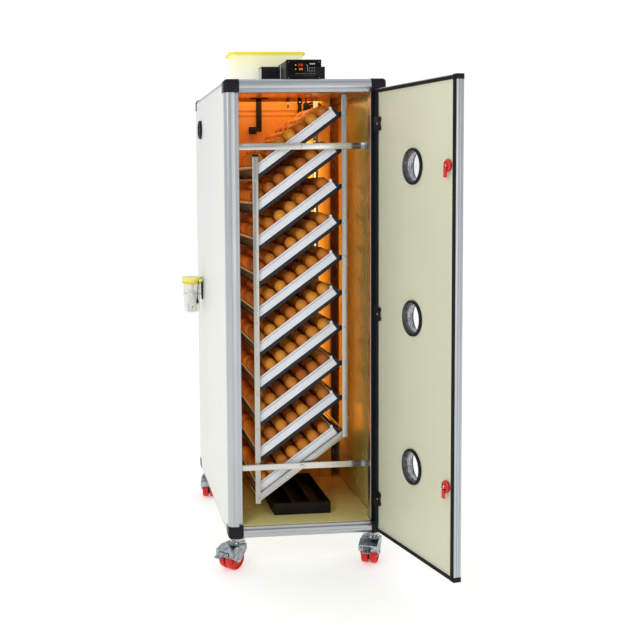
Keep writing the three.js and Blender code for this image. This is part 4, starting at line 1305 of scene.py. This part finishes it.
def rounded(low, high, radius, steps=8):
    """A rounded rectangle in (x, y)."""
    points = []
    corners = ((high, high), (low, high), (low, low), (high, low))
    for quarter, (across, deep) in enumerate(corners):
        cx = across[0] + (radius if across is low else -radius)
        cy = deep[1] + (radius if deep is low else -radius)
        for step in range(steps + 1):
            a = math.pi / 2 * (quarter + step / steps)
            points.append((cx + radius * math.cos(a), cy + radius * math.sin(a)))
    return points


def lofted(*levels):
    """A closed solid through outlines of equal counts, each an outline in (x, y) and its height."""
    return skinned([[(x, y, z) for x, y in outline] for outline, z in levels])


def layers(low, high, *levels):
    """Rounded outlines inside a box, each from its inset, height and corner radius."""
    return [(rounded((low[0] + inset, low[1] + inset), (high[0] - inset, high[1] - inset), radius), z)
            for inset, z, radius in levels]


def roof_tank():
    """A translucent tub that widens upwards, its shallow water, and a bright rim lid."""
    low, high = box_of("water_tank")
    base, rim = low[2], high[2]
    outside = layers(low, high, (9, base, 10), (7, base + 1.5, 12), (6, base + 5, 13), (0.4, rim, 16))
    inside = layers(low, high, (9.5, base + 3.4, 9), (3.2, rim, 13), (3.0, rim + 4, 13))
    made = Piece("tank_tub", "tank").add(less(lofted(*outside), lofted(*inside)))
    for z, inset in ((base + 34, 4.4), (base + 78, 2.2)):
        band = layers(low, high, (inset, z, 14), (inset, z + 2, 14))
        bore = layers(low, high, (inset + 2, z - 1, 12), (inset + 2, z + 3, 12))
        made.add(less(lofted(*band), lofted(*bore)))
    made.done("cabinet", "clear_tank", "water_tank")
    fill = layers(low, high, (9.9, base + 3.8, 8), (6.2, base + 40, 11))
    Piece("tank_water", "water").add(lofted(*fill)).done("cabinet", "water")

    low, high = box_of("tank_lid")
    floor, top = low[2], high[2]
    skirt = layers(
        low, high, (0, floor + 4.6, 20), (0, top - 4, 20), (1.4, top - 1.4, 19), (4, top - 0.3, 17))
    under = layers(low, high, (1.9, floor + 3, 18), (1.9, top - 5.6, 18), (4.5, top - 3.4, 16))
    lid = Piece("tank_cover", "yellow").add(less(lofted(*skirt), lofted(*under)))
    lid.add(lofted(*layers(low, high, (14, top - 0.8, 12), (14, top, 12))))
    y = middle("tank_lid")[1]
    for x in (low[0] - 1.2, high[0] - 5):
        lid.add(box((x, y - 16, floor + 4), (x + 6.2, y + 16, top - 4), 1.6, 3))
    lid.done("tank_lid", "yellow_plastic", "tank_lid")


# ---- cup on the side ----

CUP_LOW, CUP_HIGH = box_of("side_cup")
CUP = (*middle("side_cup")[:2], CUP_LOW[2])
FOOT, MOUTH, TALL = 29.5, 34.5, CUP_HIGH[2] - CUP_LOW[2]
GRIP = 74
PEG = (-275.0, 200.0, 886.0)
LEAD = 1.5


def side_cup():
    place = at(*CUP)
    outside = [(FOOT - 3, 0), (FOOT - 1, 0.8), (FOOT, 3), (FOOT + 0.4, 14), (FOOT + 1.1, 15.5),
               (MOUTH - 0.6, TALL - 12), (MOUTH, TALL - 10), (MOUTH, TALL)]
    inside = [(MOUTH - 2, TALL), (MOUTH - 2, TALL - 10), (MOUTH - 2.6, TALL - 12), (FOOT - 1.0, 16),
              (FOOT - 1.8, 14), (FOOT - 2.2, 4), (FOOT - 4, 2.4)]
    shell = turned([(0, 0), *outside, *inside, (0, 2.4)], 72)
    Piece("cup_shell", "cup", place).add(shell).done("cup", "clear_plastic", "side_cup", angle=40)

    inner = Piece("cup_float", "float", place)
    body = [(0, 3), (15, 3), (16, 4), (16, 74), (15, 76), (9, 82), (0, 82)]
    inner.add(turned(body, 40, Matrix.Translation((2, -8, 0))))
    inner.add(rod(5, (2, -8, 80), (2, -8, 118), 20, 1))
    inner.of("light_grey").add(box((-18, -18, 3), (-2, 0, 33), 2, 3))
    inner.of("black").add(box((-3, -25.4, 17), (3, -18, 26), 1.5, 3))
    inner.add(box((-4, -25.4, 7), (1, -19, 13), 1.5, 3))
    inner.done("cup", "clear_plastic")


def cup_lid():
    """The flared lid with its gripping ribs, and the peg beside it for the lead.

    It is made in the cabinet's axes, because its yellow fades with the height there."""
    axis = Vector(CUP)
    skirt = [(0.5, -21), (2.2, -22), (3.0, -20.5), (3.2, -13), (2.6, -12), (5.6, 1), (5.2, 3.2), (4, 4)]
    lid = [(MOUTH + r, TALL + z) for r, z in skirt]
    lid += [(16, TALL + 4), (12, TALL + 3.2), (10.5, TALL + 0.6), (MOUTH - 3, TALL + 0.6),
            (MOUTH + 0.5, TALL - 0.6)]
    cover = Piece("cup_cover", "pale_yellow").add(turned(lid, 72, Matrix.Translation(axis)))
    for a in around(36):
        out = Vector((math.cos(a), math.sin(a), 0))
        foot, head = out * (MOUTH + 2.9) + Z * (TALL - 20), out * (MOUTH + 3) + Z * (TALL - 13.5)
        cover.add(rod(0.8, axis + foot, axis + head, 8, 0.2))
    peg = Vector(PEG)
    cover.add(rod(4.6, peg + Y * 22, peg - Y * 3, 24, 0.8))
    cover.add(rod(6.4, peg - Y * 2.4, peg - Y * 4.2, 24, 0.6))
    cover.done("cup_lid", "yellow_plastic", "cup_lid", angle=40)


def cup_holder():
    """A clear ring round the cup, on a white plate that is screwed to the cabinet."""
    holder = Piece("cup_ring", "cup", at(*CUP))
    radius = FOOT + (MOUTH - FOOT) * GRIP / TALL + 0.4
    section = [(0, -8), (3, -8), (3.8, -7), (3.8, -1), (3, 0), (0, 0)]
    holder.add(turned([(radius + r, GRIP + z) for r, z in section], 72))
    wall_x = -SIDE - CUP[0] - GAP
    plate = rounded((-16, GRIP - 25), (16, GRIP + 45), 6)
    holder.of("white").add(prism(plate, "x", (wall_x - 3.6, wall_x), 0.8))
    holder.add(box((radius + 3, -8, GRIP - 8), (wall_x - 1, 8, GRIP), 1))
    for z in (GRIP - 16, GRIP + 36):
        head = Vector((wall_x - 3.6, 0, z))
        holder.of("bright").add(dome(3.4, 2, head, head - X, 18))
    holder.done("cabinet", "clear_plastic", "cup_holder")


def sensor_lead():
    """The float sensor's thin lead: out of its boot, over a peg on the lid and down to its connector."""
    wrap = 4.6 + LEAD + 0.3
    x, y, z = PEG
    line = [Vector((x + wrap, y, z - 6)), Vector((x + wrap, y, z - 3))]
    for step in range(9):
        a = math.pi * step / 8
        line.append(Vector((x + wrap * math.cos(a), y, z + wrap * math.sin(a))))
    drop = 66
    for step in range(1, 9):
        t = step / 8
        line.append(Vector((x - wrap - 5.5 * math.sin(t * 1.5), y - 0.5 * t, z - drop * t)))
    curve = bpy.data.curves.new("sensor_lead", "CURVE")
    curve.dimensions = "3D"
    curve.bevel_depth = LEAD * MM
    curve.bevel_resolution = 4
    curve.use_fill_caps = True
    spline = curve.splines.new("POLY")
    spline.points.add(len(line) - 1)
    for point, spot in zip(spline.points, line):
        point.co = (*(spot * MM), 1)
    curve.materials.append(look["rubber"])
    lead = placed("sensor_lead", curve)
    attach(lead, "cup_lid")

    boot = Piece("lead_boot", "rubber")
    top = line[0]
    body = [(0, 4), (1.7, 4), (1.9, 0), (3.4, -1.5), (4.0, -6), (4.1, -30), (3.8, -52), (3.0, -64),
            (1.6, -67), (0, -67)]
    boot.add(turned(body, 32, Matrix.Translation(top)))
    for step in range(5):
        spot = top - Z * (5 + step * 3)
        boot.add(rod(4.35, spot, spot - Z * 1.2, 28, 0.3))
    boot.done("cup_lid", "black_rubber")

    plug = Piece("lead_plug", "black")
    end = line[-1]
    plug.add(turned([(0, 3), (1.7, 3), (2.0, 0), (3.0, -6), (3.2, -8), (0, -8)], 28, Matrix.Translation(end)))
    plug.add(box(end + Vector((-4.2, -3.2, -22)), end + Vector((4.2, 3.2, -7)), 1.2, 3))
    for step in range(3):
        z = end.z - 10 - step * 3
        plug.add(box((end.x - 4.5, end.y - 3.5, z - 1), (end.x + 4.5, end.y + 3.5, z), 0.3))
    plug.of("bright").add(box(end + Vector((-2.6, -1.4, -24.5)), end + Vector((2.6, 1.4, -21)), 0.4))
    plug = plug.done("cup_lid", "black_plastic")


def side_vent():
    """A moulded ring with slats."""
    high = box_of("side_vent")[1]
    made = Piece("vent_ring", "black", at(high[0], *middle("side_vent")[1:], -90, "Y"))
    made.add(turned([(24, 0), (35, 0), (35, 5), (33.4, 8.4), (30.5, 10), (26.5, 10), (24.4, 8), (23.4, 3.2),
                     (23, 3)], 64))
    made.of("light_grey").add(turned([(0, 0.3), (24.5, 0.3), (24.5, 3.2), (0, 3.2)], 64))
    for step in range(-3, 4):
        half = math.sqrt(22.5 ** 2 - (step * 6) ** 2)
        made.add(box((step * 6 - 1.1, -half, 3), (step * 6 + 1.1, half, 6.2), 0.7))
    made.add(dome(5, 2.4, (0, 0, 3), (0, 0, 9), 24))
    made.done("cabinet", "black_plastic", "side_vent")


# ---- casters ----

def casters():
    for end, side in CORNERS:
        corner = f"{end}_{side}"
        swivel, roll = joint_place(f"swivel_{corner}"), joint_place(f"roll_{corner}")
        turn = math.degrees(math.atan2(roll[0] - swivel[0], swivel[1] - roll[1]))
        place = at(swivel[0], swivel[1], 0, turn)
        fork(corner, place, end == "front")
        wheels(corner, place, roll[2])
        if end == "front":
            pedal(corner, place)


TRAIL, WHEEL, FORK = 32, 37.5, 31
HOOD = 80


def fork(corner, place, braked):
    """A pressed hood with two legs, under a ball race with two ridges."""
    front = -TRAIL - WHEEL - 6
    outside = [(10, HOOD), (-TRAIL - 16, HOOD), (-TRAIL - 28, HOOD - 5), (front, WHEEL + 31),
               (front, WHEEL + 12), (-TRAIL - 22, WHEEL + 2), (-TRAIL - 9, WHEEL - 10),
               (-TRAIL, WHEEL - 12.5), (-TRAIL + 9, WHEEL - 10), (2, WHEEL + 14), (10, HOOD - 18)]
    inside = [(7, HOOD - 3.5), (-TRAIL - 14, HOOD - 3.5), (-TRAIL - 26, HOOD - 8), (front + 3.5, WHEEL + 28),
              (front + 3.5, -5), (7, -5)]
    shell = less(prism(outside, "x", (-FORK, FORK), 1.6, 3), prism(inside, "x", (-FORK + 3, FORK - 3)))
    made = Piece(f"fork_{corner}", "zinc", place).add(shell)
    race = [(0, -1), (25, -1), (26, 0.6), (26, 4.4), (24.6, 5.6), (20, 6.4), (20, 9.6), (24, 10.6), (25, 12),
            (25, 15.4), (23.6, 16.8), (13, 17.6), (12, 20.6), (0, 20.6)]
    made.of("bright").add(turned([(r, HOOD + z) for r, z in race], 56))
    for a in around(10, 0.3):
        spot = Vector((21 * math.cos(a), 21 * math.sin(a), HOOD + 8))
        made.add(rod(1.9, spot - Z * 1.8, spot + Z * 1.8, 10, 0.5))
    for sign in (-1, 1):
        leg = Vector((sign * FORK, -TRAIL, WHEEL))
        made.of("bright").add(rod(8.4, leg - X * sign * 0.5, leg + X * sign * 1.2, 6, 0.4))
        made.of("zinc").add(rod(5, leg - X * sign * 4, leg + X * sign * 2.4, 20, 0.6))
        ridge = [(-TRAIL - 3, WHEEL - 6), (-TRAIL - 4, HOOD - 14), (-TRAIL + 1, HOOD - 10),
                 (-TRAIL + 3, WHEEL - 4)]
        made.of("zinc").add(prism(ridge, "x", (sign * (FORK - 0.6), sign * (FORK + 0.9)), 0.6))
    x, wide = (-22, 3.4) if corner == "front_right" else (20.5, 7.4)
    # Painted shade: the black disc round the rivet stands for the shaded hole it sits in.
    made.of("black").add(rod(wide, (x, front + 1, WHEEL + 23), (x, front - 1.6, WHEEL + 23), 28, 0.5))
    made.of("bright").add(dome(wide / 2, 1.6, (x, front - 1.5, WHEEL + 23), (x, front - 6, WHEEL + 23), 20))
    for x in (-9, -3, 3, 9):
        made.of("zinc").add(box((x - 1, front - 0.7, WHEEL + 15), (x + 1, front + 1, WHEEL + 27), 0.5))
    if braked:
        for sign in (-1, 1):
            lug = (sign * 13.2, front - 6, WHEEL + 20.5), (sign * 16.8, front + 1, WHEEL + 27.5)
            made.add(box(*lug, 0.8))
    made.done(f"caster_{corner}", "zinc", f"caster_fork_{corner}", angle=38)


def wheels(corner, place, height):
    made = Piece(f"wheels_{corner}", "wheel", place @ at(0, -TRAIL, height, 90, "Y"))
    for sign in (-1, 1):
        tread = [(-2.6, 3.1), (-0.8, 3.9), (0, 6), (0, 19.6), (-0.7, 22.6), (-2.6, 24.4), (-5, 25),
                 (-6.6, 24.2), (-7.6, 22)]
        hub = [(19, 21), (17.6, 22.6), (13, 23.6), (11, 24.6), (0, 24.6)]
        section = [(0, 3.1)] + [(WHEEL + r, h) for r, h in tread] + hub
        made.of("wheel").add(turned([(r, sign * h) for r, h in section], 64))
        for a in around(6):
            spoke = Vector((math.cos(a), math.sin(a), 0))
            made.add(rod(2.2, 16 * spoke + Z * sign * 21.4, 30 * spoke + Z * sign * 21.4, 10, 0.6))
    made.of("black").add(rod(27, (0, 0, -3.4), (0, 0, 3.4), 40, 0.2))
    made.of("bright").add(rod(4.9, (0, 0, -30.9), (0, 0, 30.9), 20, 0.5))
    made.done(f"wheel_{corner}", "red_wheel", f"caster_wheel_{corner}", angle=38)


def pedal(corner, place):
    """A ribbed brake tab on its barrel."""
    made = Piece(f"brake_tab_{corner}", "zinc", place @ at(0, -TRAIL - WHEEL - 10, WHEEL + 24.5))
    made.add(rod(3, (-12.6, 0, 0), (12.6, 0, 0), 20, 0.5))
    outline = [(1, 2.6), (-8, 1.4), (-18, -3.6), (-25, -5.6), (-26.4, -7.2), (-26, -9.4), (-18, -7.6),
               (-8, -2.6), (0, -2.6)]
    made.add(prism(outline, "x", (-12.6, 12.6), 0.9))
    for step in range(4):
        y = -9 - step * 4
        z = 0.6 - (step + 0.6) * 1.75
        made.add(rod(0.9, (-10.5, y, z), (10.5, y, z), 8, 0.3))
    made.done(f"pedal_{corner}", "zinc", f"brake_pedal_{corner}")


controller()
power_box()
roof_tank()
side_cup()
cup_lid()
cup_holder()
sensor_lead()
side_vent()
casters()


# ---- stage ----

def studio():
    """A white room: the camera sees plain white, and surfaces see a softer, dimmer front."""
    world = bpy.data.worlds.new("studio")
    bpy.context.scene.world = world
    made = Nodes(world)
    facing = made.add("ShaderNodeTexCoord").outputs["Generated"]
    depth = made.add("ShaderNodeSeparateXYZ", {0: facing}).outputs["Y"]
    dim, bright = (0.40, 0.41, 0.43, 1), (0.88, 0.90, 0.92, 1)
    tint = made.ramp(made.between(depth, 0, 1, -1.0, 0.2), (0, dim), (1, bright))
    sky = made.feed(made.tree.nodes["Background"], {"Color": tint, "Strength": 1.0})
    backdrop = made.add("ShaderNodeBackground", {"Color": (1, 1, 1, 1), "Strength": 1.05})
    is_camera = made.add("ShaderNodeLightPath").outputs["Is Camera Ray"]
    mix = made.add("ShaderNodeMixShader", {0: is_camera, 1: sky.outputs[0], 2: backdrop.outputs[0]})
    made.feed(made.tree.nodes["World Output"], {"Surface": mix.outputs[0]})

    floor = bpy.data.meshes.new("floor")
    shape = bmesh.new()
    bmesh.ops.create_grid(shape, x_segments=1, y_segments=1, size=40)
    shape.to_mesh(floor)
    shape.free()
    ground = placed("floor", floor, Matrix.Translation((0, 0, cad_box[0][2] - 0.0005)))
    pale = plain("floor_pale", (0.88, 0.87, 0.83, 1), 0.8, blotch=0.8, spread=0.004, bump=0.02,
                 Emission_Color=(1, 1, 1, 1), Emission_Strength=0.36)
    floor.materials.append(pale)


def area_light(name, place, aim, size, power, color=(1, 1, 1)):
    lamp = bpy.data.lights.new(name, "AREA")
    lamp.shape = "RECTANGLE"
    lamp.size, lamp.size_y = size
    lamp.energy = power
    lamp.color = color
    turn = (Vector(aim) - Vector(place)).to_track_quat("-Z", "Y").to_matrix().to_4x4()
    placed(name, lamp, Matrix.Translation(place) @ turn).visible_camera = False


WARM = (1.0, 0.60, 0.22)
studio()
area_light("key", (-2.2, -3.6, 2.8), (0.1, -0.4, 0.8), (1.6, 1.6), 40)
area_light("fill", (1.6, -4.0, 1.4), (0, 0, 0.7), (1.6, 2.0), 12)
area_light("warm_top", (0.0, -0.05, 1.54), (0.0, 0.0, 0.2), (0.34, 0.36), 0.9, WARM)
area_light("warm_back", (0.12, 0.058, 0.85), (0.30, 0.20, 0.85), (0.05, 1.1), 1.3, WARM)
area_light("warm_left", (-0.224, -0.15, 0.85), (0.1, -0.15, 0.85), (0.3, 1.2), 0.8, WARM)

bpy.context.scene.view_settings.view_transform = "Standard"
